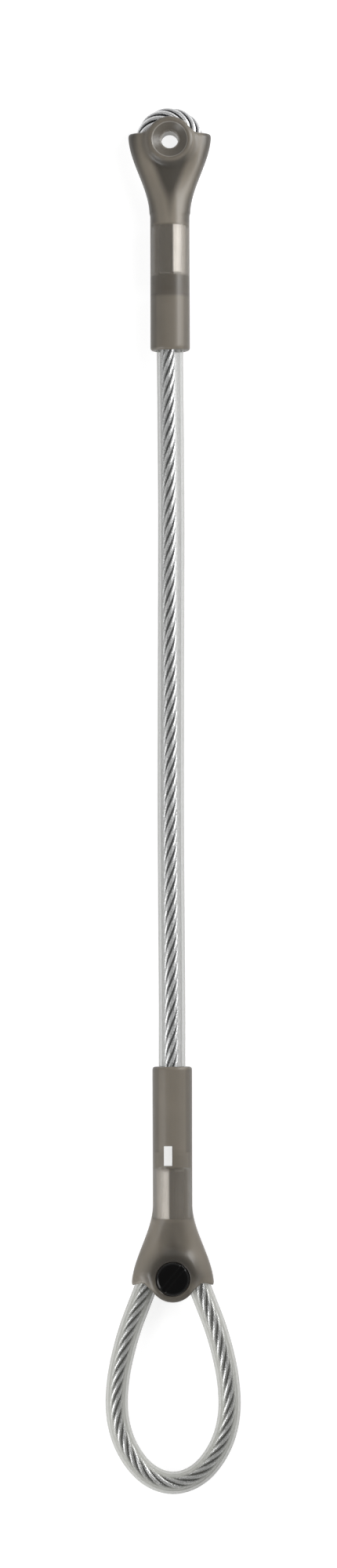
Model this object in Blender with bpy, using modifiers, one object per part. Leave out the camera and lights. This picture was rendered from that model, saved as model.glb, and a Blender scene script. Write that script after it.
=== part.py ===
"""Wire rope sling: sheathed rope, two pressed ferrules and two moulded eye sleeves.

The sling lies on its back, small eye towards +Y, and everything is in metres.
"""
import math

import bmesh
import bpy
from mathutils import Vector

# The whole sling
WORKING_LENGTH = 0.5000        # hole of the small eye to the inside of the large eye
CLEARANCE = 0.0003             # gap between pieces that seat in one another
TABLE_GAP = 0.0002             # least height of a sagging sheath over the table

# Wire rope
ROPE_DIAMETER = 0.0054
PRESSED_DIAMETER = 0.0047      # rope squeezed inside a ferrule
LEG_GAP = 0.0004               # between the two rope legs in a ferrule
DEAD_END = 0.0020              # rope end standing out of its ferrule
PRESS_FLARE = 0.0015           # length over which the rope swells out of a ferrule
SMALL_EYE_RADIUS = 0.0101      # rope's middle line round the small eye

# Clear sheaths
MAIN_SHEATH_DIAMETER = 0.0100
MAIN_SHEATH_WALL = 0.0012
EYE_SHEATH_DIAMETER = 0.0084
EYE_SHEATH_WALL = 0.0010
EYE_SHEATH_INSERT = 0.0010     # end of the eye sheath past the hub's middle
TOP_SHEATH_GAP = 0.0072        # bare rope between ferrule and sheath
LOWER_SHEATH_GAP = 0.0060
ROPE_LEAN = 0.0005             # rope's offset in the sheath's end, coming from its ferrule
LEAN_LENGTH = 0.0140           # length over which the rope finds the sheath's middle

# Pressed ferrules
FERRULE_DIAMETER = 0.0120
FERRULE_LENGTH = 0.0200
FERRULE_ROUND = 0.0012
TOP_FERRULE_DROP = 0.0308      # hub's middle to the ferrule's near face
LOWER_FERRULE_DROP = 0.0212

# Moulded sleeves, one moulding used at both ends
SLEEVE_LENGTH = 0.0792         # hub's middle to the mouth
SLEEVE_TUBE_DIAMETER = 0.0148
SLEEVE_LIP_DIAMETER = 0.0149
SLEEVE_LIP_ROUND = 0.0008
SHOULDER_WIDTH = 0.0309
SHOULDER_HEIGHT = 0.0114
SHOULDER_REACH = 0.0023        # shoulder's end past the hub's middle
SHOULDER_ROUND = 0.0022
WEB_ROUND = 0.0032             # fillet between the shoulder's end and the hub
WEB_LENGTH = 0.0080            # length over which the fillet dies out in the shoulder
FLARE_LENGTH = 0.0300          # shoulder's end to where the tube is round
VALLEY_DEPTH = 0.42            # share of the height taken out between the legs
VALLEY_WIDTH = 0.0042
SHOULDER_POWER = 3.0           # squareness of a section at the shoulder
TUBE_POWER = 2.0               # squareness of a section at the mouth, which is round
HUB_DIAMETER = 0.0176
HUB_THICKNESS = 0.0150
HUB_ROUND = 0.0007
DISH_DIAMETER = 0.0132
DISH_WALL = 0.0012             # straight wall at the dish's rim
DISH_DEPTH = 0.0021
HOLE_DIAMETER = 0.0064

# Slotted plug in the lower hub
PLUG_HEAD_DIAMETER = 0.0122
PLUG_HEAD_HEIGHT = 0.0016
PLUG_CHAMFER = 0.0005
PLUG_SHANK_DIAMETER = 0.0034
PLUG_SHANK_FLOOR = 0.0010      # nut left under the end of the shank
SLOT_WIDTH = 0.0017
SLOT_DEPTH = 0.0009
SLOT_RUN = 1.2                 # length of the slot's cutter in head diameters
SLOT_ANGLE = math.radians(50)
NUT_FLANGE_DIAMETER = 0.0178
NUT_FLANGE_THICKNESS = 0.0010
NUT_EDGE_SHARE = 1 / 3         # share of the flange's thickness bevelled on each face

# Large eye
LARGE_EYE_WIDTH = 0.0507       # over the sheath
LARGE_EYE_REACH = 0.0725       # lower hub's middle to the inside of the eye
LEG_SPREAD = 0.44              # share of the way out to the eye's first point, halfway to the ferrule
# One side of the large eye: shares of its half width and of its depth, hub to far end
LARGE_EYE_SIDE = [
    (0.419, 0.000), (0.576, 0.113), (0.748, 0.238), (0.879, 0.363), (0.969, 0.489), (1.000, 0.613),
    (0.967, 0.708), (0.867, 0.801), (0.695, 0.886), (0.486, 0.949), (0.248, 0.987), (0.000, 1.000),
]
# Main run: shares of the way from mouth to mouth, sideways wander and share of the sag
MAIN_RUN = [
    (0.10, 0.00010, 0.08), (0.22, 0.00025, 0.38), (0.36, 0.00010, 0.80), (0.50, -0.00010, 1.00),
    (0.64, -0.00025, 0.80), (0.78, -0.00015, 0.38), (0.90, 0.00000, 0.08),
]

# Facets
ROUND_STEPS = 32
RING_POINTS = 32
ROPE_SIDES = 3                 # bevel_resolution of the rope
SHEATH_SIDES = 4               # bevel_resolution of sheaths, bores and tunnels
LONGEST_STEP = 0.0160
LARGEST_TURN = math.radians(9)
CLOSEST_STEP = 0.0010          # least distance between two rings of a tube
CURVE_STEPS = 24               # points of the smooth curve between two route points
FLARE_STEPS = 10               # sections along the sleeve's flare
PLANE_SLACK = 0.00003          # how near a route point counts as on a plane
WELD = 1e-6

# Stations along the sling, from the sizes above
MIDDLE_HEIGHT = HUB_THICKNESS / 2
LEG_OFFSET = (PRESSED_DIAMETER + LEG_GAP) / 2
TOP_REACH = SMALL_EYE_RADIUS + ROPE_DIAMETER / 2
TOP_HUB_Y = (WORKING_LENGTH + EYE_SHEATH_DIAMETER - TOP_REACH) / 2
LOWER_HUB_Y = TOP_HUB_Y - WORKING_LENGTH + LARGE_EYE_REACH
TOP_MOUTH_Y = TOP_HUB_Y - SLEEVE_LENGTH
LOWER_MOUTH_Y = LOWER_HUB_Y + SLEEVE_LENGTH
TOP_FERRULE_NEAR_Y = TOP_HUB_Y - TOP_FERRULE_DROP
TOP_FERRULE_FAR_Y = TOP_FERRULE_NEAR_Y - FERRULE_LENGTH
LOWER_FERRULE_NEAR_Y = LOWER_HUB_Y + LOWER_FERRULE_DROP
LOWER_FERRULE_FAR_Y = LOWER_FERRULE_NEAR_Y + FERRULE_LENGTH
TOP_SHEATH_Y = TOP_FERRULE_FAR_Y - TOP_SHEATH_GAP
LOWER_SHEATH_Y = LOWER_FERRULE_FAR_Y + LOWER_SHEATH_GAP
EYE_SHEATH_Y = LOWER_HUB_Y + EYE_SHEATH_INSERT
LOWER_HUB_BACK = HUB_THICKNESS / 2 - NUT_FLANGE_THICKNESS - CLEARANCE


def new_collection(name):
    """Add an empty collection to the scene."""
    collection = bpy.data.collections.new(name)
    bpy.context.scene.collection.children.link(collection)
    return collection


def material(name, colour, roughness, metallic=0.0, alpha=1.0):
    """Make a plain Principled material."""
    made = bpy.data.materials.new(name)
    made.use_nodes = True
    shader = made.node_tree.nodes["Principled BSDF"]
    shader.inputs["Base Color"].default_value = (*colour, 1.0)
    shader.inputs["Roughness"].default_value = roughness
    shader.inputs["Metallic"].default_value = metallic
    shader.inputs["Alpha"].default_value = alpha
    return made


def place(obj, collection, finish=None):
    """Put an object in one collection only, and give it its material."""
    for other in list(obj.users_collection):
        other.objects.unlink(obj)
    collection.objects.link(obj)
    if finish is not None:
        obj.data.materials.append(finish)
    return obj


def as_cutter(obj):
    """Send an object to the cutters, drawn as wire and never rendered."""
    place(obj, CUTTERS)
    obj.hide_render = True
    obj.display_type = "WIRE"
    return obj


def cut(obj, cutter, operation="DIFFERENCE"):
    """Add an exact Boolean of a cutter to an object."""
    modifier = obj.modifiers.new(operation.lower(), "BOOLEAN")
    modifier.operation = operation
    modifier.object = cutter
    modifier.solver = "EXACT"


def smooth(obj, angle=math.radians(35)):
    """Shade a mesh smooth, with its sharp edges kept."""
    obj.data.shade_smooth()
    obj.data.set_sharp_from_angle(angle=angle)


def ease(share):
    """Smooth step from 0 to 1."""
    share = min(max(share, 0.0), 1.0)
    return share * share * (3 - 2 * share)


def smooth_curve(points):
    """Centripetal curve through the route's points, as a fine list of points."""
    ends = [points[0] * 2 - points[1], *points, points[-1] * 2 - points[-2]]
    fine = []
    for a, b, c, d in zip(ends, ends[1:], ends[2:], ends[3:]):
        t1 = math.sqrt((b - a).length)
        t2 = t1 + math.sqrt((c - b).length)
        t3 = t2 + math.sqrt((d - c).length)
        for step in range(CURVE_STEPS):
            t = t1 + (t2 - t1) * step / CURVE_STEPS
            ab = a.lerp(b, t / t1)
            bc = b.lerp(c, (t - t1) / (t2 - t1))
            cd = c.lerp(d, (t - t2) / (t3 - t2))
            abc = ab.lerp(bc, t / t2)
            bcd = bc.lerp(cd, (t - t1) / (t3 - t1))
            fine.append(abc.lerp(bcd, (t - t1) / (t2 - t1)))
    fine.append(points[-1].copy())
    return fine


def thinned(fine, planes):
    """Keep the points a tube needs: on each plane across Y, in bends and every few diameters."""
    kept = [fine[0]]
    on_plane = [True]
    turned = 0.0
    for before, here, after in zip(fine, fine[1:], fine[2:]):
        turned += (here - before).angle(after - here)
        for plane in planes:
            if (before.y - plane) * (here.y - plane) < 0:
                kept.append(before.lerp(here, (plane - before.y) / (here.y - before.y)))
                on_plane.append(True)
                turned = 0.0
        far_enough = (here - kept[-1]).length >= CLOSEST_STEP
        if (here - kept[-1]).length >= LONGEST_STEP or (turned >= LARGEST_TURN and far_enough):
            kept.append(here)
            on_plane.append(False)
            turned = 0.0
    kept.append(fine[-1])
    on_plane.append(True)
    crowded = [not on and (a - b).length < CLOSEST_STEP for a, b, on in zip(kept, kept[1:], on_plane)]
    return [point for point, drop in zip(kept, [*crowded, False]) if not drop]


def small_eye_points():
    """Route of the small eye, dead end to live leg, round the hub."""
    near = -TOP_FERRULE_DROP
    far = near - FERRULE_LENGTH
    side = [(LEG_OFFSET, far), (LEG_OFFSET, (near + far) / 2), (LEG_OFFSET, near)]
    spread = SMALL_EYE_RADIUS - LEG_OFFSET
    side += [(LEG_OFFSET + spread * ease(share), near * (1 - share)) for share in (0.25, 0.5, 0.75)]
    arc = [math.radians(angle) for angle in (0, 22.5, 45, 67.5)]
    side += [(SMALL_EYE_RADIUS * math.cos(a), SMALL_EYE_RADIUS * math.sin(a)) for a in arc]
    loop = [(-LEG_OFFSET, far - DEAD_END)]
    loop += [(-x, y) for x, y in side]
    loop += [(0.0, SMALL_EYE_RADIUS)]
    loop += side[::-1]
    return [Vector((x, TOP_HUB_Y + y, MIDDLE_HEIGHT)) for x, y in loop]


def main_run_points():
    """Route of the main run, mouth to mouth, sagging until its sheath nearly lies on the table."""
    sag = MIDDLE_HEIGHT - MAIN_SHEATH_DIAMETER / 2 - TABLE_GAP
    span = LOWER_MOUTH_Y - TOP_MOUTH_Y
    points = [Vector((ROPE_LEAN, TOP_SHEATH_Y, MIDDLE_HEIGHT))]
    points += [Vector((0.0, TOP_SHEATH_Y - LEAN_LENGTH, MIDDLE_HEIGHT))]
    for along, wander, drop in MAIN_RUN:
        points.append(Vector((wander, TOP_MOUTH_Y + span * along, MIDDLE_HEIGHT - sag * drop)))
    points += [Vector((0.0, LOWER_SHEATH_Y + LEAN_LENGTH, MIDDLE_HEIGHT))]
    points += [Vector((ROPE_LEAN, LOWER_SHEATH_Y, MIDDLE_HEIGHT))]
    return points


def large_eye_points():
    """Route of the large eye, live leg to dead end, drooping until its far end lies on the table."""
    half = (LARGE_EYE_WIDTH - EYE_SHEATH_DIAMETER) / 2
    depth = LARGE_EYE_REACH + EYE_SHEATH_DIAMETER / 2
    droop = MIDDLE_HEIGHT - EYE_SHEATH_DIAMETER / 2 - TABLE_GAP
    near = LOWER_FERRULE_DROP
    far = near + FERRULE_LENGTH
    first_x = half * LARGE_EYE_SIDE[0][0]
    side = [(LEG_OFFSET, far, 0.0), (LEG_OFFSET, (near + far) / 2, 0.0), (LEG_OFFSET, near, 0.0)]
    side += [(LEG_OFFSET + (first_x - LEG_OFFSET) * LEG_SPREAD, near / 2, 0.0)]
    side += [(half * across, -depth * down, droop * ease(down)) for across, down in LARGE_EYE_SIDE]
    loop = side + [(-x, y, drop) for x, y, drop in side[-2::-1]]
    loop += [(-LEG_OFFSET, far + DEAD_END, 0.0)]
    return [Vector((x, LOWER_HUB_Y + y, MIDDLE_HEIGHT - drop)) for x, y, drop in loop]


def rope_stations():
    """Points of the one unbroken rope, from dead end to dead end."""
    planes = [TOP_SHEATH_Y, LOWER_SHEATH_Y, EYE_SHEATH_Y]
    planes += [TOP_FERRULE_NEAR_Y, TOP_FERRULE_NEAR_Y + PRESS_FLARE]
    planes += [TOP_FERRULE_FAR_Y, TOP_FERRULE_FAR_Y - PRESS_FLARE]
    planes += [LOWER_FERRULE_NEAR_Y, LOWER_FERRULE_NEAR_Y - PRESS_FLARE]
    planes += [LOWER_FERRULE_FAR_Y, LOWER_FERRULE_FAR_Y + PRESS_FLARE]
    route = small_eye_points() + main_run_points() + large_eye_points()
    return thinned(smooth_curve(route), planes)


def main_sheath_stations(rope):
    """Points of the main sheath: straight in both sleeves, and round the rope between them."""
    points = between(rope, at_height(rope, TOP_SHEATH_Y, 0), at_height(rope, LOWER_SHEATH_Y, 0))
    return [Vector((p.x if LOWER_MOUTH_Y < p.y < TOP_MOUTH_Y else 0.0, p.y, p.z)) for p in points]


def rope_radius(point):
    """Radius of the rope, which is squeezed inside a ferrule."""
    in_top = TOP_FERRULE_FAR_Y - PLANE_SLACK <= point.y <= TOP_FERRULE_NEAR_Y + PLANE_SLACK
    in_lower = LOWER_FERRULE_NEAR_Y - PLANE_SLACK <= point.y <= LOWER_FERRULE_FAR_Y + PLANE_SLACK
    return PRESSED_DIAMETER / 2 if in_top or in_lower else ROPE_DIAMETER / 2


def between(points, start, stop):
    """Points from the one nearest to start to the one nearest to stop."""
    first = min(range(len(points)), key=lambda i: (points[i] - start).length)
    last = min(range(len(points)), key=lambda i: (points[i] - stop).length)
    return points[first:last + 1]


def at_height(points, plane, side):
    """The point on a plane across Y whose X has the given sign, or the first one there."""
    found = [p for p in points if abs(p.y - plane) < PLANE_SLACK and (side == 0 or p.x * side > 0)]
    return found[0]


def stretched(points, extra):
    """The same points with each end moved outwards along its own direction."""
    first = points[0] + (points[0] - points[1]).normalized() * extra
    last = points[-1] + (points[-1] - points[-2]).normalized() * extra
    return [first, *points[1:-1], last]


def tube(name, points, radii, sides):
    """Round tube along the points, as a curve with filled caps."""
    thickest = max(radii)
    curve = bpy.data.curves.new(name, "CURVE")
    curve.dimensions = "3D"
    curve.bevel_depth = thickest
    curve.bevel_resolution = sides
    curve.use_fill_caps = True
    spline = curve.splines.new("POLY")
    spline.points.add(len(points) - 1)
    for target, point, radius in zip(spline.points, points, radii):
        target.co = (*point, 1.0)
        target.radius = radius / thickest
    obj = bpy.data.objects.new(name, curve)
    bpy.context.scene.collection.objects.link(obj)
    return obj


def tube_mesh(name, points, radii, sides):
    """Round tube along the points, as one welded mesh that can be cut or can cut."""
    curve = tube(name + "_line", points, radii, sides)
    evaluated = curve.evaluated_get(bpy.context.evaluated_depsgraph_get())
    mesh = bpy.data.meshes.new_from_object(evaluated)
    bpy.data.objects.remove(curve)
    welded = bmesh.new()
    welded.from_mesh(mesh)
    bmesh.ops.remove_doubles(welded, verts=welded.verts, dist=WELD)
    bmesh.ops.recalc_face_normals(welded, faces=welded.faces)
    welded.to_mesh(mesh)
    welded.free()
    mesh.name = name
    obj = bpy.data.objects.new(name, mesh)
    bpy.context.scene.collection.objects.link(obj)
    return obj


def cylinder_along_y(name, radius, low, high, x=0.0):
    """Cylinder between two stations across Y, on the rope's middle plane."""
    bpy.ops.mesh.primitive_cylinder_add(
        vertices=ROUND_STEPS, radius=radius, depth=high - low,
        location=(x, (low + high) / 2, MIDDLE_HEIGHT), rotation=(math.pi / 2, 0, 0),
    )
    obj = bpy.context.active_object
    obj.name = name
    return obj


def turned(name, profile, location):
    """Solid of revolution about Z from a profile of radius and height, its outer side running down."""
    mesh = bpy.data.meshes.new(name)
    points = [(radius, 0.0, height) for radius, height in profile]
    mesh.from_pydata(points, [(i, i + 1) for i in range(len(points) - 1)], [])
    obj = bpy.data.objects.new(name, mesh)
    obj.location = location
    screw = obj.modifiers.new("turn", "SCREW")
    screw.steps = ROUND_STEPS
    screw.render_steps = ROUND_STEPS
    screw.use_merge_vertices = True
    screw.merge_threshold = WELD
    screw.use_smooth_shade = True
    bpy.context.scene.collection.objects.link(obj)
    return obj


def sleeve_stations():
    """Distances from the hub towards the mouth, with the inset of the rounded ends at each."""
    quarter = [math.radians(angle) for angle in (0, 30, 60, 90)]
    rounded = [(1 - math.cos(a), 1 - math.sin(a)) for a in quarter]
    shoulder = [
        (SHOULDER_ROUND * along - SHOULDER_REACH, SHOULDER_ROUND * inset) for along, inset in rounded
    ]
    lip = [
        (SLEEVE_LENGTH - SLEEVE_LIP_ROUND * along, SLEEVE_LIP_ROUND * inset) for along, inset in rounded
    ]
    flare_start = SHOULDER_ROUND - SHOULDER_REACH
    flare = FLARE_LENGTH - SHOULDER_ROUND
    flared = [(flare_start + flare * (step + 1) / FLARE_STEPS, 0.0) for step in range(FLARE_STEPS)]
    tube_end = SLEEVE_LENGTH - SLEEVE_LIP_ROUND
    halfway = [((flare_start + flare + tube_end) / 2, 0.0)]
    return shoulder + flared + halfway + lip[::-1]


def web_rise(x):
    """How far the shoulder's end climbs at x, in a fillet that meets the hub's rim."""
    hub = HUB_DIAMETER / 2
    middle = math.sqrt((hub + WEB_ROUND) ** 2 - (SHOULDER_REACH + WEB_ROUND) ** 2)
    nearest = middle * hub / (hub + WEB_ROUND)
    inwards = middle - min(max(abs(x), nearest), middle)
    return WEB_ROUND - math.sqrt(WEB_ROUND**2 - inwards**2)


def sleeve_section(down, inset):
    """One cross-section of the sleeve: round tube at the mouth, wide shoulder with two ridges at the hub.

    Each section is a rounded rectangle, whose corners square up towards the shoulder, with a valley
    pressed into both faces between the two rope legs. Near the shoulder's end it climbs to the hub.
    """
    web = 1 - ease((down + SHOULDER_REACH) / WEB_LENGTH)
    flare = ease((down + SHOULDER_REACH) / FLARE_LENGTH)
    lip = ease((down - SLEEVE_LENGTH / 2) / (SLEEVE_LENGTH / 2))
    tube_radius = (SLEEVE_TUBE_DIAMETER + (SLEEVE_LIP_DIAMETER - SLEEVE_TUBE_DIAMETER) * lip) / 2
    half_width = SHOULDER_WIDTH / 2 * (1 - flare) + tube_radius * flare - inset
    half_height = SHOULDER_HEIGHT / 2 * (1 - flare) + tube_radius * flare - inset / 2
    power = 2 / (SHOULDER_POWER * (1 - flare) + TUBE_POWER * flare)
    ring = []
    for step in range(RING_POINTS):
        angle = 2 * math.pi * step / RING_POINTS
        across = math.cos(angle)
        up = math.sin(angle)
        x = half_width * math.copysign(abs(across) ** power, across)
        z = half_height * math.copysign(abs(up) ** power, up)
        z *= 1 - VALLEY_DEPTH * (1 - flare) * math.exp(-((x / VALLEY_WIDTH) ** 2))
        ring.append((x, -down + web * web_rise(x), z))
    return ring


def sleeve_body(name):
    """Loft of the sleeve's sections, closed at the shoulder and at the mouth."""
    loft = bmesh.new()
    rings = []
    for down, inset in sleeve_stations():
        rings.append([loft.verts.new(point) for point in sleeve_section(down, inset)])
    for upper, lower in zip(rings, rings[1:]):
        for i in range(RING_POINTS):
            after = (i + 1) % RING_POINTS
            loft.faces.new((upper[i], upper[after], lower[after], lower[i]))
    for cap in (rings[0], rings[-1]):
        for i in range(RING_POINTS // 2):
            strip = [cap[i], cap[i + 1], cap[RING_POINTS - i - 1], cap[-i]]
            loft.faces.new(list(dict.fromkeys(strip)))
    bmesh.ops.recalc_face_normals(loft, faces=loft.faces)
    mesh = bpy.data.meshes.new(name)
    loft.to_mesh(mesh)
    loft.free()
    obj = bpy.data.objects.new(name, mesh)
    bpy.context.scene.collection.objects.link(obj)
    return obj


def hub_disc(name, location, back):
    """Round hub whose front face is at the full thickness, and its back where the nut leaves it."""
    front = HUB_THICKNESS / 2
    radius = HUB_DIAMETER / 2
    profile = [
        (0.0, front), (radius - HUB_ROUND, front), (radius, front - HUB_ROUND),
        (radius, -back + HUB_ROUND), (radius - HUB_ROUND, -back), (0.0, -back),
    ]
    return as_cutter(turned(name, profile, location))


def hub_hole(name, location, back_dish):
    """Cutter of the dish and through hole, with a second dish behind where the hub is open."""
    face = HUB_THICKNESS / 2
    past = face + HUB_ROUND
    dish = DISH_DIAMETER / 2
    hole = HOLE_DIAMETER / 2
    profile = [(0.0, past), (dish, past), (dish, face - DISH_WALL), (hole, face - DISH_DEPTH)]
    if back_dish:
        profile += [(hole, DISH_DEPTH - face), (dish, DISH_WALL - face), (dish, -past), (0.0, -past)]
    else:
        profile += [(hole, -past), (0.0, -past)]
    return as_cutter(turned(name, profile, location))


def build_sleeve(name, hub_y, turn, hub_back, pocket, sheath_end, tunnels, finish):
    """Moulded sleeve: loft and hub joined, then hollowed for ferrule, sheath, rope and hole."""
    location = (0.0, hub_y, MIDDLE_HEIGHT)
    towards_mouth = -math.cos(turn)
    mouth_y = hub_y + towards_mouth * SLEEVE_LENGTH
    sleeve = place(sleeve_body(name), PARTS, finish)
    sleeve.location = location
    sleeve.rotation_euler = (0.0, 0.0, turn)
    cut(sleeve, hub_disc(name + "_hub", location, hub_back), "UNION")
    cut(sleeve, hub_hole(name + "_hole", location, hub_back == HUB_THICKNESS / 2))
    pocket_radius = FERRULE_DIAMETER / 2 + CLEARANCE
    pocket_start = pocket - towards_mouth * CLEARANCE
    low, high = sorted((pocket_start, sheath_end))
    cut(sleeve, as_cutter(cylinder_along_y(name + "_pocket", pocket_radius, low, high)))
    bore_radius = MAIN_SHEATH_DIAMETER / 2 + CLEARANCE
    bore_start = sheath_end - towards_mouth * FERRULE_ROUND
    bore_stop = mouth_y + towards_mouth * FERRULE_ROUND
    low, high = sorted((bore_start, bore_stop))
    cut(sleeve, as_cutter(cylinder_along_y(name + "_bore", bore_radius, low, high)))
    for tunnel in tunnels:
        cut(sleeve, as_cutter(tunnel))
    smooth(sleeve)
    return sleeve


def build_ferrule(name, low, high, legs, finish):
    """Pressed ferrule: a rounded cylinder with the two rope legs let through it."""
    ferrule = place(cylinder_along_y(name, FERRULE_DIAMETER / 2, low, high), PARTS, finish)
    bpy.ops.object.transform_apply(location=False, rotation=True, scale=True)
    rounded = ferrule.modifiers.new("rounded_ends", "BEVEL")
    rounded.width = FERRULE_ROUND
    rounded.segments = 3
    rounded.limit_method = "ANGLE"
    for number, leg in enumerate(legs):
        radii = [rope_radius(point) + CLEARANCE for point in leg]
        cut(ferrule, as_cutter(tube_mesh(f"{name}_leg_{number}", leg, radii, SHEATH_SIDES)))
    smooth(ferrule)
    return ferrule


def build_sheath(name, points, diameter, wall, finish):
    """Clear sheath: a tube along the rope with its bore cut through both ends."""
    sheath = place(tube_mesh(name, points, [diameter / 2] * len(points), SHEATH_SIDES), PARTS, finish)
    bore = stretched(points, diameter)
    radii = [diameter / 2 - wall] * len(bore)
    cut(sheath, as_cutter(tube_mesh(name + "_bore", bore, radii, SHEATH_SIDES)))
    smooth(sheath)
    return sheath


def build_plug_screw(finish):
    """Black slotted screw seated in the dish of the lower hub."""
    seat = HUB_THICKNESS / 2 - DISH_WALL + CLEARANCE
    top = seat + PLUG_HEAD_HEIGHT
    head = PLUG_HEAD_DIAMETER / 2
    shank = PLUG_SHANK_DIAMETER / 2
    end = -LOWER_HUB_BACK + PLUG_SHANK_FLOOR
    profile = [
        (0.0, top), (head - PLUG_CHAMFER, top), (head, top - PLUG_CHAMFER), (head, seat),
        (shank, seat), (shank, end), (0.0, end),
    ]
    location = (0.0, LOWER_HUB_Y, MIDDLE_HEIGHT)
    screw = place(turned("plug_screw", profile, location), PARTS, finish)
    slot_height = SLOT_DEPTH * 2
    bpy.ops.mesh.primitive_cube_add(size=1.0, location=(0.0, LOWER_HUB_Y, MIDDLE_HEIGHT + top))
    slot = bpy.context.active_object
    slot.name = "plug_slot"
    slot.scale = (PLUG_HEAD_DIAMETER * SLOT_RUN, SLOT_WIDTH, slot_height)
    slot.rotation_euler = (0.0, 0.0, SLOT_ANGLE)
    cut(screw, as_cutter(slot))


def build_plug_nut(finish):
    """Black flanged nut behind the lower hub, whose barrel fills the hole."""
    bore = PLUG_SHANK_DIAMETER / 2 + CLEARANCE
    barrel = HOLE_DIAMETER / 2 - CLEARANCE
    flange = NUT_FLANGE_DIAMETER / 2
    barrel_top = HUB_THICKNESS / 2 - DISH_DEPTH - CLEARANCE
    flange_top = -LOWER_HUB_BACK - CLEARANCE
    flange_bottom = flange_top - NUT_FLANGE_THICKNESS
    floor = -LOWER_HUB_BACK + PLUG_SHANK_FLOOR - CLEARANCE
    edge = NUT_FLANGE_THICKNESS * NUT_EDGE_SHARE
    profile = [
        (0.0, floor), (bore, floor), (bore, barrel_top), (barrel, barrel_top), (barrel, flange_top),
        (flange - edge, flange_top), (flange, flange_top - edge), (flange, flange_bottom + edge),
        (flange - edge, flange_bottom), (0.0, flange_bottom),
    ]
    place(turned("plug_nut", profile, (0.0, LOWER_HUB_Y, MIDDLE_HEIGHT)), PARTS, finish)


def build_sling():
    """Build every piece of the sling along one rope."""
    steel = material("galvanised_rope", (0.55, 0.56, 0.57), 0.35, metallic=1.0)
    clear = material("clear_sheath", (0.72, 0.73, 0.70), 0.15, alpha=0.45)
    smoke = material("smoky_elastomer", (0.14, 0.125, 0.11), 0.45, alpha=0.9)
    alloy = material("pressed_aluminium", (0.62, 0.58, 0.52), 0.4, metallic=1.0)
    black = material("black_plastic", (0.006, 0.006, 0.006), 0.3)

    rope = rope_stations()
    rope_line = tube("wire_rope", rope, [rope_radius(point) for point in rope], ROPE_SIDES)
    place(rope_line, PARTS, steel)

    main = main_sheath_stations(rope)
    build_sheath("main_sheath", main, MAIN_SHEATH_DIAMETER, MAIN_SHEATH_WALL, clear)
    eye = between(rope, at_height(rope, EYE_SHEATH_Y, 1), at_height(rope, EYE_SHEATH_Y, -1))
    build_sheath("eye_sheath", eye, EYE_SHEATH_DIAMETER, EYE_SHEATH_WALL, clear)

    top_dead = at_height(rope, TOP_FERRULE_FAR_Y, -1)
    top_live = at_height(rope, TOP_FERRULE_FAR_Y, 1)
    top_left = at_height(rope, TOP_FERRULE_NEAR_Y, -1)
    top_right = at_height(rope, TOP_FERRULE_NEAR_Y, 1)
    top_legs = [between(rope, top_dead, top_left), between(rope, top_right, top_live)]
    top_legs = [stretched(leg, PRESS_FLARE) for leg in top_legs]
    build_ferrule("top_ferrule", TOP_FERRULE_FAR_Y, TOP_FERRULE_NEAR_Y, top_legs, alloy)

    lower_live = at_height(rope, LOWER_FERRULE_FAR_Y, 1)
    lower_dead = at_height(rope, LOWER_FERRULE_FAR_Y, -1)
    lower_right = at_height(rope, LOWER_FERRULE_NEAR_Y, 1)
    lower_left = at_height(rope, LOWER_FERRULE_NEAR_Y, -1)
    lower_legs = [between(rope, lower_live, lower_right), between(rope, lower_left, lower_dead)]
    lower_legs = [stretched(leg, PRESS_FLARE) for leg in lower_legs]
    build_ferrule("lower_ferrule", LOWER_FERRULE_NEAR_Y, LOWER_FERRULE_FAR_Y, lower_legs, alloy)

    rope_tunnel = ROPE_DIAMETER / 2 + CLEARANCE
    sheath_tunnel = EYE_SHEATH_DIAMETER / 2 + CLEARANCE
    crown = Vector((0.0, TOP_HUB_Y + SMALL_EYE_RADIUS, MIDDLE_HEIGHT))
    halves = [between(rope, top_left, crown), between(rope, crown, top_right)]
    tunnels = []
    for number, half in enumerate(halves):
        half = stretched(half, ROPE_DIAMETER / 2)
        radii = [rope_tunnel] * len(half)
        tunnels.append(tube_mesh(f"top_leg_tunnel_{number}", half, radii, SHEATH_SIDES))
    build_sleeve("top_sleeve", TOP_HUB_Y, 0.0, HUB_THICKNESS / 2, TOP_FERRULE_NEAR_Y,
                 TOP_SHEATH_Y, tunnels, smoke)

    tunnels = []
    right_leg = stretched(between(rope, lower_right, eye[0]), CLEARANCE)
    left_leg = stretched(between(rope, eye[-1], lower_left), CLEARANCE)
    for number, leg in enumerate((right_leg, left_leg)):
        radii = [rope_tunnel] * len(leg)
        tunnels.append(tube_mesh(f"lower_leg_tunnel_{number}", leg, radii, SHEATH_SIDES))
    eye_tunnel = stretched(eye, CLEARANCE)
    tunnels.append(tube_mesh("eye_tunnel", eye_tunnel, [sheath_tunnel] * len(eye), SHEATH_SIDES))
    build_sleeve("lower_sleeve", LOWER_HUB_Y, math.pi, LOWER_HUB_BACK, LOWER_FERRULE_NEAR_Y,
                 LOWER_SHEATH_Y, tunnels, smoke)

    build_plug_screw(black)
    build_plug_nut(black)


for old in list(bpy.data.objects):
    bpy.data.objects.remove(old, do_unlink=True)
PARTS = new_collection("wire_rope_sling")
CUTTERS = new_collection("cutters")
build_sling()
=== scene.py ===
"""Wire rope sling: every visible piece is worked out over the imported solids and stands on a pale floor."""
import logging
import math
from dataclasses import dataclass
from enum import Enum

import bmesh
import bpy
import numpy as np
from mathutils import Matrix, Vector


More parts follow.
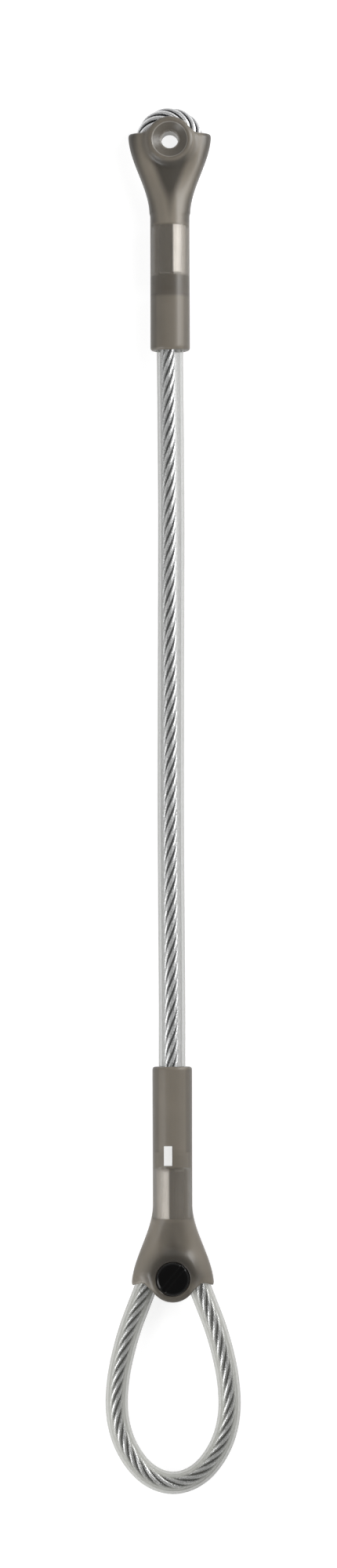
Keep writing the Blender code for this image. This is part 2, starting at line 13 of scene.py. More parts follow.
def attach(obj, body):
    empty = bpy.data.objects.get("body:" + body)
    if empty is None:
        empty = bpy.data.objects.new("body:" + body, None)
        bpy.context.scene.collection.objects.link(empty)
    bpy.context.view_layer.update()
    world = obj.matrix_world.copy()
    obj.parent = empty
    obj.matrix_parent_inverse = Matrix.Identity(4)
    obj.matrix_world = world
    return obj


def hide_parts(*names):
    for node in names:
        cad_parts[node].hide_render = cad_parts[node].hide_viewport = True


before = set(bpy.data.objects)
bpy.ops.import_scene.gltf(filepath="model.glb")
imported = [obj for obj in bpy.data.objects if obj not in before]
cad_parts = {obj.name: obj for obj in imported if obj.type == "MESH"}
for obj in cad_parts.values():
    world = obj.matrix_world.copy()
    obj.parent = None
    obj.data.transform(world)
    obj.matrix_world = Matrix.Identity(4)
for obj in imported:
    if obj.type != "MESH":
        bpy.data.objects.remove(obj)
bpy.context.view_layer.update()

LOG = logging.getLogger("sling")
Array = np.ndarray
Spot = tuple[Array, Array, Array]
Colour = tuple[float, float, float]
Stops = tuple[tuple[float, float | Colour], ...]
Material = bpy.types.Material
Object = bpy.types.Object
Socket = bpy.types.NodeSocket
WHITE = (1.0, 1.0, 1.0)
# What the sleeves' skin stores at each point: its painted light and shade, and how clear it is
SKIN_TONES = ("glow", "clear")


class End(Enum):
    """The two ends of the sling."""

    SMALL = "top"
    LARGE = "lower"

    @property
    def inward(self) -> int:
        """Sign of the way along Y from this end's hub to the sling's middle."""
        return -1 if self is End.SMALL else 1


class Body(Enum):
    """The bodies that pieces ride on."""

    SLING = "sling"
    PLUG = "plug"


@dataclass(frozen=True)
class SlingSizes:
    """Sizes of the solids in metres, repeated from the part's source."""

    working_length: float = 0.5000
    clearance: float = 0.0003
    table_gap: float = 0.0002
    rope_diameter: float = 0.0054
    pressed_diameter: float = 0.0047
    leg_gap: float = 0.0004
    leg_spread: float = 0.44
    dead_end: float = 0.0020
    press_flare: float = 0.0015
    small_eye_radius: float = 0.0101
    main_sheath_diameter: float = 0.0100
    main_sheath_wall: float = 0.0012
    eye_sheath_diameter: float = 0.0084
    eye_sheath_wall: float = 0.0010
    eye_sheath_insert: float = 0.0010
    top_sheath_gap: float = 0.0072
    lower_sheath_gap: float = 0.0060
    rope_lean: float = 0.0005
    lean_length: float = 0.0140
    ferrule_diameter: float = 0.0120
    ferrule_length: float = 0.0200
    top_ferrule_drop: float = 0.0308
    lower_ferrule_drop: float = 0.0212
    sleeve_length: float = 0.0792
    sleeve_tube_diameter: float = 0.0148
    sleeve_lip_diameter: float = 0.0149
    shoulder_width: float = 0.0309
    hub_diameter: float = 0.0176
    hub_thickness: float = 0.0150
    dish_diameter: float = 0.0132
    dish_wall: float = 0.0012
    dish_depth: float = 0.0021
    hole_diameter: float = 0.0064
    plug_head_diameter: float = 0.0122
    plug_head_height: float = 0.0016
    plug_shank_diameter: float = 0.0034
    plug_shank_floor: float = 0.0010
    slot_width: float = 0.0017
    slot_depth: float = 0.0009
    slot_angle: float = math.radians(50)
    nut_flange_diameter: float = 0.0178
    nut_flange_thickness: float = 0.0010
    large_eye_width: float = 0.0507
    large_eye_reach: float = 0.0725

    @property
    def middle_height(self) -> float:
        """Height of the rope's middle plane over the table."""
        return self.hub_thickness / 2

    @property
    def leg_offset(self) -> float:
        """Distance of each rope leg from the middle inside a ferrule."""
        return (self.pressed_diameter + self.leg_gap) / 2

    @property
    def eye_sheath_y(self) -> float:
        """Station of both ends of the eye sheath."""
        return self.hub_y(End.LARGE) + self.eye_sheath_insert

    @property
    def lower_hub_back(self) -> float:
        """Depth of the lower hub's back face behind the middle plane."""
        return self.hub_thickness / 2 - self.nut_flange_thickness - self.clearance

    def hub_y(self, end: End) -> float:
        """Station of an end's hub, in a sling that is as long above the origin as below it.

        Args:
            end: The small or the large end.

        Returns:
            The distance along Y.
        """
        reach = self.small_eye_radius + self.rope_diameter / 2
        top = (self.working_length + self.eye_sheath_diameter - reach) / 2
        return top if end is End.SMALL else top - self.working_length + self.large_eye_reach

    def hub(self, end: End) -> Array:
        """Middle of an end's hub."""
        return np.array([0.0, self.hub_y(end), self.middle_height])

    def ferrule_drop(self, end: End) -> float:
        """Distance from an end's hub to its ferrule."""
        return self.top_ferrule_drop if end is End.SMALL else self.lower_ferrule_drop

    def ferrule_y(self, end: End) -> float:
        """Station of the middle of an end's ferrule."""
        return self.hub_y(end) + end.inward * (self.ferrule_drop(end) + self.ferrule_length / 2)

    def sheath_drop(self, end: End) -> float:
        """Distance from an end's hub to the main sheath's end."""
        gap = self.top_sheath_gap if end is End.SMALL else self.lower_sheath_gap
        return self.ferrule_drop(end) + self.ferrule_length + gap

    def sheath_y(self, end: End) -> float:
        """Station of the main sheath's end in an end's sleeve."""
        return self.hub_y(end) + end.inward * self.sheath_drop(end)

    def mouth_y(self, end: End) -> float:
        """Station of the mouth of an end's sleeve."""
        return self.hub_y(end) + end.inward * self.sleeve_length


# One side of the large eye: shares of its half width and of its depth, hub to far end
LARGE_EYE_SIDE = np.array([
    (0.419, 0.000), (0.576, 0.113), (0.748, 0.238), (0.879, 0.363), (0.969, 0.489), (1.000, 0.613),
    (0.967, 0.708), (0.867, 0.801), (0.695, 0.886), (0.486, 0.949), (0.248, 0.987), (0.000, 1.000),
])
# Main run: shares of the way from mouth to mouth, sideways wander and share of the sag
MAIN_RUN = np.array([
    (0.10, 0.00010, 0.08), (0.22, 0.00025, 0.38), (0.36, 0.00010, 0.80), (0.50, -0.00010, 1.00),
    (0.64, -0.00025, 0.80), (0.78, -0.00015, 0.38), (0.90, 0.00000, 0.08),
])


def ease(share: Array | float) -> Array | float:
    """Smooth step: 3t squared minus 2t cubed, held at 0 and 1."""
    share = np.clip(share, 0.0, 1.0)
    return share * share * (3 - 2 * share)


def smooth_curve(points: Array, steps: int = 24) -> Array:
    """Carry a centripetal curve through the points.

    Between two points the curve is the usual pyramid of straight mixes, with the knots spaced by the
    square root of the distance between points.

    Args:
        points: Route points, one to a row.
        steps: Points of the curve between two route points.

    Returns:
        The fine points of the curve.
    """
    ends = np.vstack([2 * points[0] - points[1], points, 2 * points[-1] - points[-2]])
    a, b, c, d = (ends[i:len(ends) - 3 + i][:, None] for i in range(4))
    t1 = np.sqrt(np.linalg.norm(b - a, axis=2, keepdims=True))
    t2 = t1 + np.sqrt(np.linalg.norm(c - b, axis=2, keepdims=True))
    t3 = t2 + np.sqrt(np.linalg.norm(d - c, axis=2, keepdims=True))
    t = t1 + (t2 - t1) * (np.arange(steps) / steps)[None, :, None]
    ab = a + (b - a) * t / t1
    bc = b + (c - b) * (t - t1) / (t2 - t1)
    cd = c + (d - c) * (t - t2) / (t3 - t2)
    abc = ab + (bc - ab) * t / t2
    bcd = bc + (cd - bc) * (t - t1) / (t3 - t1)
    fine = abc + (bcd - abc) * (t - t1) / (t2 - t1)
    return np.vstack([fine.reshape(-1, 3), points[-1]])


def along(line: Array) -> Array:
    """Distance travelled at each point of a line."""
    return np.concatenate([[0.0], np.cumsum(np.linalg.norm(np.diff(line, axis=0), axis=1))])


def respaced(line: Array, step: float) -> Array:
    """Space a line's points evenly.

    Args:
        line: Points of the line, one to a row.
        step: About how far apart the new points are.

    Returns:
        The new points.
    """
    way = along(line)
    at = np.linspace(0.0, way[-1], max(2, math.ceil(way[-1] / step) + 1))
    return np.stack([np.interp(at, way, line[:, k]) for k in range(3)], axis=1)


def cross_frames(line: Array) -> tuple[Array, Array]:
    """Find two unit directions across a line at each point.

    The second is the vertical with the part along the line taken out, and the first is square to both.

    Args:
        line: Points of a line that is never vertical.

    Returns:
        The sideways and the upward directions.
    """
    forward = np.gradient(line, axis=0)
    forward /= np.linalg.norm(forward, axis=1, keepdims=True)
    up = np.array([0.0, 0.0, 1.0]) - forward * forward[:, 2:3]
    up /= np.linalg.norm(up, axis=1, keepdims=True)
    return np.cross(up, forward), up


@dataclass(frozen=True)
class RopeRoute:
    """Middle line of the one unbroken rope, dead end to dead end."""

    sizes: SlingSizes
    # Sideways lean below and above, the station where it starts to change, and over what length
    low_lean: float = -0.0002
    high_lean: float = -0.0008
    lean_start: float = 0.020
    lean_turn: float = 0.070
    # Spacing of the sheaths' lines, and the share of a leg's offset within which a point is on the main run
    fine_step: float = 0.0002
    run_share: float = 0.9

    def small_eye(self) -> Array:
        """Route round the small eye: straight in the ferrule, easing out, then a half circle round the hub.

        Returns:
            The route's points, one to a row.
        """
        s = self.sizes
        near = -s.top_ferrule_drop
        far = near - s.ferrule_length
        share = np.array([0.25, 0.5, 0.75])
        arc = np.radians([0, 22.5, 45, 67.5])
        x = np.concatenate([
            np.full(3, s.leg_offset),
            s.leg_offset + (s.small_eye_radius - s.leg_offset) * ease(share),
            s.small_eye_radius * np.cos(arc),
        ])
        straight = [far, (near + far) / 2, near]
        y = np.concatenate([straight, near * (1 - share), s.small_eye_radius * np.sin(arc)])
        loop_x = np.concatenate([[-s.leg_offset], -x, [0.0], x[::-1]])
        loop_y = np.concatenate([[far - s.dead_end], y, [s.small_eye_radius], y[::-1]])
        loop_z = np.full(len(loop_x), s.middle_height)
        return np.stack([loop_x, s.hub_y(End.SMALL) + loop_y, loop_z], axis=1)

    def main_run(self) -> Array:
        """Route from mouth to mouth, sagging until the sheath nearly lies on the table.

        Returns:
            The route's points, one to a row.
        """
        s = self.sizes
        top, low = s.sheath_y(End.SMALL), s.sheath_y(End.LARGE)
        start, stop = s.mouth_y(End.SMALL), s.mouth_y(End.LARGE)
        sag = s.middle_height - s.main_sheath_diameter / 2 - s.table_gap
        share, wander, drop = MAIN_RUN.T
        x = np.concatenate([[s.rope_lean, 0.0], wander, [0.0, s.rope_lean]])
        open_run = start + (stop - start) * share
        y = np.concatenate([[top, top - s.lean_length], open_run, [low + s.lean_length, low]])
        z = s.middle_height - sag * np.concatenate([[0.0, 0.0], drop, [0.0, 0.0]])
        return np.stack([x, y, z], axis=1)

    def large_eye(self) -> Array:
        """Route round the large eye, drooping until its far end lies on the table.

        Returns:
            The route's points, one to a row.
        """
        s = self.sizes
        half = (s.large_eye_width - s.eye_sheath_diameter) / 2
        depth = s.large_eye_reach + s.eye_sheath_diameter / 2
        droop = s.middle_height - s.eye_sheath_diameter / 2 - s.table_gap
        near = s.lower_ferrule_drop
        far = near + s.ferrule_length
        across, down = LARGE_EYE_SIDE.T
        bend = s.leg_offset + (half * across[0] - s.leg_offset) * s.leg_spread
        x = np.concatenate([np.full(3, s.leg_offset), [bend], half * across])
        y = np.concatenate([[far, (near + far) / 2, near, near / 2], -depth * down])
        z = np.concatenate([np.zeros(4), -droop * ease(down)])
        loop_x = np.concatenate([x, -x[-2::-1], [-s.leg_offset]])
        loop_y = np.concatenate([y, y[-2::-1], [far + s.dead_end]])
        loop_z = np.concatenate([z, z[-2::-1], [0.0]])
        return np.stack([loop_x, s.hub_y(End.LARGE) + loop_y, s.middle_height + loop_z], axis=1)

    def line(self) -> Array:
        """Fine middle line of the whole rope."""
        return smooth_curve(np.vstack([self.small_eye(), self.main_run(), self.large_eye()]))

    def leaned(self) -> Array:
        """Fine middle line of the rope as it lies: off the middle of the main sheath's slack bore.

        Over the upper part of the run it keeps to one side, and eases to the middle below.

        Returns:
            The line's points, one to a row.
        """
        s = self.sizes
        line = self.line()
        y = line[:, 1]
        below_top = ease((s.sheath_y(End.SMALL) - y) / s.lean_length)
        above_low = ease((y - s.sheath_y(End.LARGE)) / s.lean_length)
        high = ease((y - self.lean_start) / self.lean_turn)
        line[:, 0] += (self.low_lean + (self.high_lean - self.low_lean) * high) * (below_top * above_low)
        return line

    def parts(self) -> tuple[Array, Array]:
        """Cut the middle lines of the two sheaths out of the rope's line.

        Returns:
            The main sheath's line, straight inside the sleeves, and the eye sheath's line.
        """
        s = self.sizes
        fine = respaced(self.line(), self.fine_step)
        x, y = fine[:, 0], fine[:, 1]
        between = (y <= s.sheath_y(End.SMALL)) & (y >= s.sheath_y(End.LARGE))
        run = np.flatnonzero(between & (np.abs(x) < s.leg_offset * self.run_share))
        main = fine[run[0]:run[-1] + 1].copy()
        main[(main[:, 1] > s.mouth_y(End.SMALL)) | (main[:, 1] < s.mouth_y(End.LARGE)), 0] = 0.0
        loop = np.flatnonzero(y <= s.eye_sheath_y)
        return main, fine[loop[0]:loop[-1] + 1]


def put_mesh(name: str, points: Array, quads: Array, triangles: Array | None = None) -> Object:
    """Make a smooth-shaded mesh object at the origin.

    Args:
        name: Name of the piece.
        points: Vertices, one to a row.
        quads: Four vertex numbers to a row.
        triangles: Three vertex numbers to a row, if there are any.

    Returns:
        The new object.
    """
    faces = quads.tolist() + ([] if triangles is None else triangles.tolist())
    mesh = bpy.data.meshes.new(name)
    mesh.from_pydata(points.tolist(), [], faces)
    mesh.shade_smooth()
    obj = bpy.data.objects.new(name, mesh)
    bpy.context.scene.collection.objects.link(obj)
    return obj


def grid_quads(rows: int, columns: int, closed_rows: bool = False) -> Array:
    """Faces of a grid of points whose columns close into a ring.

    Args:
        rows: Rings in the grid.
        columns: Points in each ring.
        closed_rows: Whether the last ring joins the first.

    Returns:
        Four vertex numbers to a row.
    """
    i, j = np.meshgrid(np.arange(rows if closed_rows else rows - 1), np.arange(columns), indexing="ij")
    here, ahead = i * columns, (i + 1) % rows * columns
    beside = (j + 1) % columns
    quads = np.stack([here + j, here + beside, ahead + beside, ahead + j], axis=-1)
    return quads.reshape(-1, 4)


def carried(line: Array, profile: Array) -> Array:
    """Carry a profile along a line.

    Args:
        line: Middle line, one point to a row.
        profile: Sideways and upward offsets for every ring, or one set for all of them.

    Returns:
        The rings' points, in order.
    """
    side, up = cross_frames(line)
    profile = np.broadcast_to(profile, (len(line), *profile.shape[-2:]))
    rings = line[:, None] + side[:, None] * profile[..., :1] + up[:, None] * profile[..., 1:]
    return rings.reshape(-1, 3)


def sampled(field: Array, places: Array) -> Array:
    """Read a field between its grid points, mixing the eight nearest values.

    Args:
        field: Values on a grid.
        places: Where to read, in grid steps.

    Returns:
        One value to a place.
    """
    base = np.clip(np.floor(places).astype(int), 0, np.array(field.shape[:3]) - 2)
    part = places - base
    total = 0.0
    for corner in np.ndindex(2, 2, 2):
        weight = np.prod(np.where(np.array(corner) == 1, part, 1 - part), axis=1)
        value = field[tuple((base + corner).T)]
        total = total + weight.reshape(-1, *[1] * (value.ndim - 1)) * value
    return total


# Sliding drawn points onto a surface: how often, least square of the slope, and furthest slide in grid steps
SLIDES = 3
LEAST_SQUARE = 0.05
FURTHEST_SLIDE = 0.4


def field_surface(field: Array, low: Array, step: float) -> tuple[Array, Array]:
    """Draw the closed surface where a field of distances is zero.

    Each cell that the surface passes through gets one point, the mean of the places where the surface
    crosses the cell's twelve edges. Each grid edge that crosses it gets one face between its four cells.
    The points are then slid along the field's slope onto the surface.

    Args:
        field: Distances on a grid, negative inside the piece.
        low: Corner of the grid.
        step: Spacing of the grid.

    Returns:
        The points and the quads.
    """
    inside = field < 0
    shape = np.array(field.shape) - 1
    corners = np.array(list(np.ndindex(2, 2, 2)))
    count = sum(
        inside[i:i + shape[0], j:j + shape[1], k:k + shape[2]].astype(np.int8) for i, j, k in corners
    )
    cells = np.argwhere((count > 0) & (count < len(corners)))
    number = np.full(shape, -1)
    number[tuple(cells.T)] = np.arange(len(cells))
    total = np.zeros((len(cells), 3))
    hits = np.zeros((len(cells), 1))
    for a in corners:
        for b in corners[(np.abs(corners - a).sum(axis=1) == 1) & ((corners - a).sum(axis=1) > 0)]:
            fa = field[tuple((cells + a).T)]
            fb = field[tuple((cells + b).T)]
            crossed = ((fa < 0) != (fb < 0))[:, None]
            share = (fa / np.where(fa == fb, 1.0, fa - fb))[:, None]
            total += np.where(crossed, a + (b - a) * share, 0.0)
            hits += crossed
    points = cells + total / hits
    slopes = np.stack(np.gradient(field, step), axis=-1)
    for _ in range(SLIDES):
        slope = sampled(slopes, points)
        square = np.maximum((slope**2).sum(axis=1, keepdims=True), LEAST_SQUARE)
        push = sampled(field, points)[:, None] * slope / square / step
        points = points - np.clip(push, -FURTHEST_SLIDE, FURTHEST_SLIDE)
    quads = []
    for axis in range(3):
        others = [k for k in range(3) if k != axis]
        start = np.moveaxis(inside, axis, 0)
        flips = np.argwhere(start[:-1, 1:-1, 1:-1] != start[1:, 1:-1, 1:-1])
        leaving = start[:-1, 1:-1, 1:-1][tuple(flips.T)]
        ring = []
        for p, q in ((0, 0), (1, 0), (1, 1), (0, 1)):
            cell = np.zeros((len(flips), 3), int)
            cell[:, axis] = flips[:, 0]
            cell[:, others[0]] = flips[:, 1] + p
            cell[:, others[1]] = flips[:, 2] + q
            ring.append(number[tuple(cell.T)])
        ring = np.stack(ring, axis=1)
        turn = leaving if axis != 1 else ~leaving
        quads.append(np.where(turn[:, None], ring, ring[:, ::-1]))
    return low + points * step, np.concatenate(quads)


def put_field(name: str, field: Array, low: Array, step: float, middle: Array) -> Object:
    """Make a mesh object of the surface where a field is zero.

    Args:
        name: Name of the piece.
        field: Distances on a grid, negative inside the piece.
        low: Corner of the grid, from the piece's middle.
        step: Spacing of the grid.
        middle: Where the piece's middle lies.

    Returns:
        The new object.
    """
    points, quads = field_surface(field, low, step)
    return put_mesh(name, points + middle, quads)


def grid_axes(low: Array, high: Array, step: float) -> Spot:
    """Coordinates of a grid, each along its own axis."""
    x, y, z = (np.arange(a, b + step, step) for a, b in zip(low, high))
    return x[:, None, None], y[None, :, None], z[None, None, :]


def box_round(radius: float, bottom: float, top: float, margin: float) -> tuple[Array, Array]:
    """Low and high corner of a box round an upright drum, a margin away from it."""
    reach = radius + margin
    return np.array([-reach, -reach, bottom - margin]), np.array([reach, reach, top + margin])


def join(a: Array, b: Array, fillet: float | Array) -> Array:
    """Join two fields with a fillet: the smaller one, lowered by the square of how close they are."""
    near = np.maximum(fillet - np.abs(a - b), 0.0)
    return np.minimum(a, b) - near**2 / (4 * fillet)


def meet(a: Array, b: Array, rounding: float) -> Array:
    """Keep what two fields share, with the edge rounded."""
    return -join(-a, -b, rounding)


def drum(radial: Array, axial: Array, radius: float, half: float, rounding: float) -> Array:
    """Field of a drum with rounded edges.

    Args:
        radial: Distance to the drum's axis.
        axial: Distance along the axis from the drum's middle.
        radius: Radius of the drum.
        half: Half of its length.
        rounding: Radius of its edges.

    Returns:
        The distance to the drum, negative inside it.
    """
    out = radial - (radius - rounding)
    past = np.abs(axial) - (half - rounding)
    outside = np.hypot(np.maximum(out, 0.0), np.maximum(past, 0.0))
    return outside + np.minimum(np.maximum(out, past), 0.0) - rounding


class Graph:
    """Node tree of one procedural finish, or of the room."""

    def __init__(self, name: str, store: bpy.types.bpy_prop_collection | None = None) -> None:
        """Start an empty tree.

        Args:
            name: Name of the finish or the room.
            store: Where its owner is made: among the materials unless told otherwise.
        """
        self.owner = (bpy.data.materials if store is None else store).new(name)
        self.owner.use_nodes = True
        self.nodes = self.owner.node_tree.nodes
        self.links = self.owner.node_tree.links
        self.nodes.clear()

    def add(self, kind: str, settings: dict | None = None, inputs: dict | None = None) -> bpy.types.Node:
        """Add a node.

        Args:
            kind: Node type without its ShaderNode prefix.
            settings: Properties of the node.
            inputs: Values or output sockets for its inputs, by name or number.

        Returns:
            The node.
        """
        node = self.nodes.new("ShaderNode" + kind)
        for key, value in (settings or {}).items():
            setattr(node, key, value)
        for key, value in (inputs or {}).items():
            self.feed(node.inputs[key], value)
        return node

    def feed(self, socket: Socket, value: object) -> None:
        """Link an output to a socket, or set the socket's value.

        Args:
            socket: The input.
            value: An output, a number, a vector or a colour.
        """
        if isinstance(value, Socket):
            self.links.new(value, socket)
        elif socket.type == "RGBA":
            socket.default_value = (*value, 1.0)
        else:
            socket.default_value = value

    def math(self, operation: str, *values: object) -> Socket:
        """One sum of a Math node."""
        return self.add("Math", {"operation": operation}, dict(enumerate(values))).outputs[0]

    def place(self, scale: tuple[float, float, float] = (1, 1, 1)) -> Socket:
        """Object coordinates, stretched."""
        spot = self.add("TexCoord").outputs["Object"]
        return self.add("Mapping", None, {"Vector": spot, "Scale": scale}).outputs[0]

    def noise(self, vector: Socket, scale: float, detail: float = 3.0) -> Socket:
        """Cloudy noise from 0 to 1."""
        return self.add("TexNoise", None, {"Vector": vector, "Scale": scale, "Detail": detail}).outputs["Fac"]

    def ramp(self, factor: Socket, stops: Stops) -> Socket:
        """Tones along a factor.

        Args:
            factor: What the tones follow.
            stops: Positions, each with a grey or a colour.

        Returns:
            The tone.
        """
        node = self.add("ValToRGB", None, {"Fac": factor})
        halfway = 0.5
        while len(node.color_ramp.elements) < len(stops):
            node.color_ramp.elements.new(halfway)
        for element, (position, tone) in zip(node.color_ramp.elements, stops):
            element.position = position
            element.color = (*(tone if isinstance(tone, tuple) else (tone,) * 3), 1.0)
        return node.outputs["Color"]

    def span(
        self, factor: Socket, low: float, high: float, start: float = 0.0, stop: float = 1.0,
        kind: str = "LINEAR",
    ) -> Socket:
        """Spread a factor that runs from start to stop over the span from low to high."""
        inputs = {"Value": factor, "From Min": start, "From Max": stop, "To Min": low, "To Max": high}
        return self.add("MapRange", {"interpolation_type": kind}, inputs).outputs["Result"]

    def blend(self, kind: str, factor: object, first: object, second: object) -> Socket:
        """Mix two colours, which are inputs 6 and 7 of a Mix node and leave it by output 2."""
        inputs = {0: factor, 6: first, 7: second}
        return self.add("Mix", {"data_type": "RGBA", "blend_type": kind}, inputs).outputs[2]

    def bump(self, height: Socket, strength: float, distance: float) -> Socket:
        """Normal of a fine relief."""
        inputs = {"Height": height, "Strength": strength, "Distance": distance}
        return self.add("Bump", None, inputs).outputs["Normal"]

    def facing(self) -> Socket:
        """How far a skin is seen edge on: 0 face on and 1 edge on."""
        return self.add("LayerWeight", None, {"Blend": 0.5}).outputs["Facing"]

    def shown(self) -> Socket:
        """Tell the rays that show the studio: the camera's, and those that left glass or gloss.

        Returns:
            1 for those rays and 0 for others.
        """
        path = self.add("LightPath").outputs
        seen = self.math("MAXIMUM", path["Is Camera Ray"], path["Is Transmission Ray"])
        return self.math("MAXIMUM", seen, path["Is Glossy Ray"])

    def surface(self, inputs: dict) -> Material:
        """End the tree in a Principled shader.

        Args:
            inputs: Values or output sockets for the shader.

        Returns:
            The finished material.
        """
        shader = self.add("BsdfPrincipled", None, inputs)
        self.add("OutputMaterial", None, {"Surface": shader.outputs["BSDF"]})
        return self.owner


@dataclass(frozen=True)
class GalvanisedWire:
    """Bright galvanised wire, laid in strands."""

    bright: Colour = (0.93, 0.935, 0.94)
    # Wires across a strand, and wires passed in a metre along the rope
    wires_across: float = 8.0
    wires_along: float = 12 / 0.0134
    # Painted shade between neighbouring wires, and painted shade in the grooves where strands meet
    wire_shade_tones: Stops = ((0.0, 0.08), (0.5, 0.6), (1.0, 1.0))
    groove_shade_tones: Stops = ((0.28, 1.0), (0.56, (0.5, 0.5, 0.51)), (0.76, 0.04))

    def material(self) -> Material:
        """Build the finish: round wires run across each strand, with painted shade where strands and wires
        meet.

        Returns:
            The finish.
        """
        g = Graph("galvanised_wire")
        uv = g.add("UVMap", {"uv_map": "strand"}).outputs[0]
        across, way, _ = g.add("SeparateXYZ", None, {0: uv}).outputs
        turned = g.math("MULTIPLY", way, self.wires_along)
        phase = g.math("ADD", g.math("MULTIPLY", across, self.wires_across), turned)
        off = g.math("MULTIPLY_ADD", g.math("FRACT", phase), 2.0, -1.0)
        crown = g.math("SQRT", g.math("SUBTRACT", 1.0, g.math("MULTIPLY", off, off)))
        edge = g.math("ABSOLUTE", g.math("MULTIPLY_ADD", across, 2.0, -1.0))
        # Painted shade: dark between the wires and in the grooves between strands
        laid = g.blend("MULTIPLY", 1.0, g.ramp(crown, self.wire_shade_tones), g.ramp(edge, self.groove_shade_tones))
        patina = g.span(g.noise(g.place(), 900.0), 0.75, 1.1)
        return g.surface({
            "Base Color": g.blend("MULTIPLY", 1.0, g.blend("MULTIPLY", 1.0, laid, self.bright), patina),
            "Metallic": 1.0,
            "Roughness": g.span(g.noise(g.place(), 1500.0), 0.18, 0.38),
            "Normal": g.bump(crown, 0.6, 0.00012),
        })


@dataclass(frozen=True)
class ClearSheathing:
    """Clear plastic tube. Its hazes are the shares of light that one skin stops, from face on to edge on."""

    name: str = "clear_sheathing"
    tint: Colour = (0.48, 0.485, 0.47)
    hazes: Stops = (
        (0.0, 0.07), (0.06, 0.08), (0.12, 0.15), (0.18, 0.28), (0.26, 0.36), (0.5, 0.40), (1.0, 0.80),
    )

    def material(self) -> Material:
        """Build the finish: a haze that thickens where the wall is seen edge on, under a glossy skin.

        Returns:
            The finish.
        """
        g = Graph(self.name)
        haze = g.ramp(g.facing(), self.hazes)
        cloud = g.span(g.noise(g.place((1, 0.15, 1)), 260.0), -0.02, 0.02)
        return g.surface({
            "Base Color": self.tint,
            "Roughness": g.span(g.noise(g.place((1, 0.2, 1)), 700.0), 0.06, 0.2),
            "IOR": 1.45,
            "Alpha": g.math("ADD", haze, cloud),
            "Specular IOR Level": 0.15,
            "Coat Weight": 0.06,
            "Coat Roughness": 0.05,
        })


MILKY_SHEATHING = ClearSheathing(
    name="milky_sheathing",
    tint=(0.57, 0.573, 0.53),
    hazes=(
        (0.0, 0.08), (0.06, 0.10), (0.10, 0.16), (0.14, 0.32), (0.19, 0.52), (0.234, 0.54), (0.30, 0.44),
        (0.5, 0.46), (1.0, 0.85),
    ),
)


@dataclass(frozen=True)
class SmokyElastomer:
    """Smoky, see-through elastomer of the sleeves."""

    dish_y: float
    dish_radius: float
    # Colours where the painted light is strongest and where the painted shade is deepest; a thick wall is
    # also darker of itself
    thin: Colour = (0.240, 0.213, 0.174)
    thick: Colour = (0.045, 0.040, 0.033)
    # Painted highlight along the open hub's dish rim: its colour, its width and its share
    rim: Colour = (0.34, 0.32, 0.29)
    rim_highlight_width: float = 0.00032
    rim_highlight_share: float = 0.6
    shadow_share: float = 0.3
    least_facing: float = 0.1

    def material(self) -> Material:
        """Build the finish: the stored painted light and shade mix a dark and a light smoky colour, and where
        the wall is thin it shows what is behind it.

        Returns:
            The finish.
        """
        g = Graph("smoky_elastomer")
        glow, clear = (g.add("Attribute", {"attribute_name": kind}).outputs["Fac"] for kind in SKIN_TONES)
        path = g.add("LightPath").outputs
        inner = g.math("MAXIMUM", path["Is Shadow Ray"], path["Is Glossy Ray"])
        facing = g.math("MAXIMUM", g.math("SUBTRACT", 1.0, g.facing()), self.least_facing)
        passed = g.math("POWER", clear, g.math("DIVIDE", 1.0, facing))
        solid = g.math("MULTIPLY", g.math("SUBTRACT", 1.0, passed), g.span(inner, 1.0, self.shadow_share))
        cloud = g.noise(g.place(), 90.0, 2.0)
        # Painted light and shade: the stored glow mixes the dark colour into the light one
        colour = g.blend("MIX", g.math("MULTIPLY", glow, g.span(cloud, 0.82, 1.15)), self.thick, self.thin)
        # Painted highlight line round the open hub's dish
        rim = g.math("MULTIPLY", self.rim_highlight_line(g), self.rim_highlight_share)
        return g.surface({
            "Base Color": g.blend("MIX", rim, colour, self.rim),
            "Roughness": g.span(cloud, 0.30, 0.40),
            "Alpha": solid,
            "Normal": g.bump(g.noise(g.place(), 2600.0, 2.0), 0.10, 0.0001),
            "Specular IOR Level": 0.36,
            "Subsurface Weight": 0.35,
            "Subsurface Radius": (0.0030, 0.0026, 0.0022),
            "Subsurface Scale": 1.0,
        })

    def rim_highlight_line(self, g: Graph) -> Socket:
        """Thin painted highlight line where the open hub's face turns into its dish: 1 at the dish's radius,
        0 a width away.

        Args:
            g: The finish's tree.

        Returns:
            The line.
        """
        ends = {0: g.place((1, 1, 0)), 1: (0.0, self.dish_y, 0.0)}
        away = g.add("VectorMath", {"operation": "DISTANCE"}, ends).outputs["Value"]
        off = g.math("ABSOLUTE", g.math("SUBTRACT", away, self.dish_radius))
        return g.span(off, 1.0, 0.0, stop=self.rim_highlight_width, kind="SMOOTHSTEP")


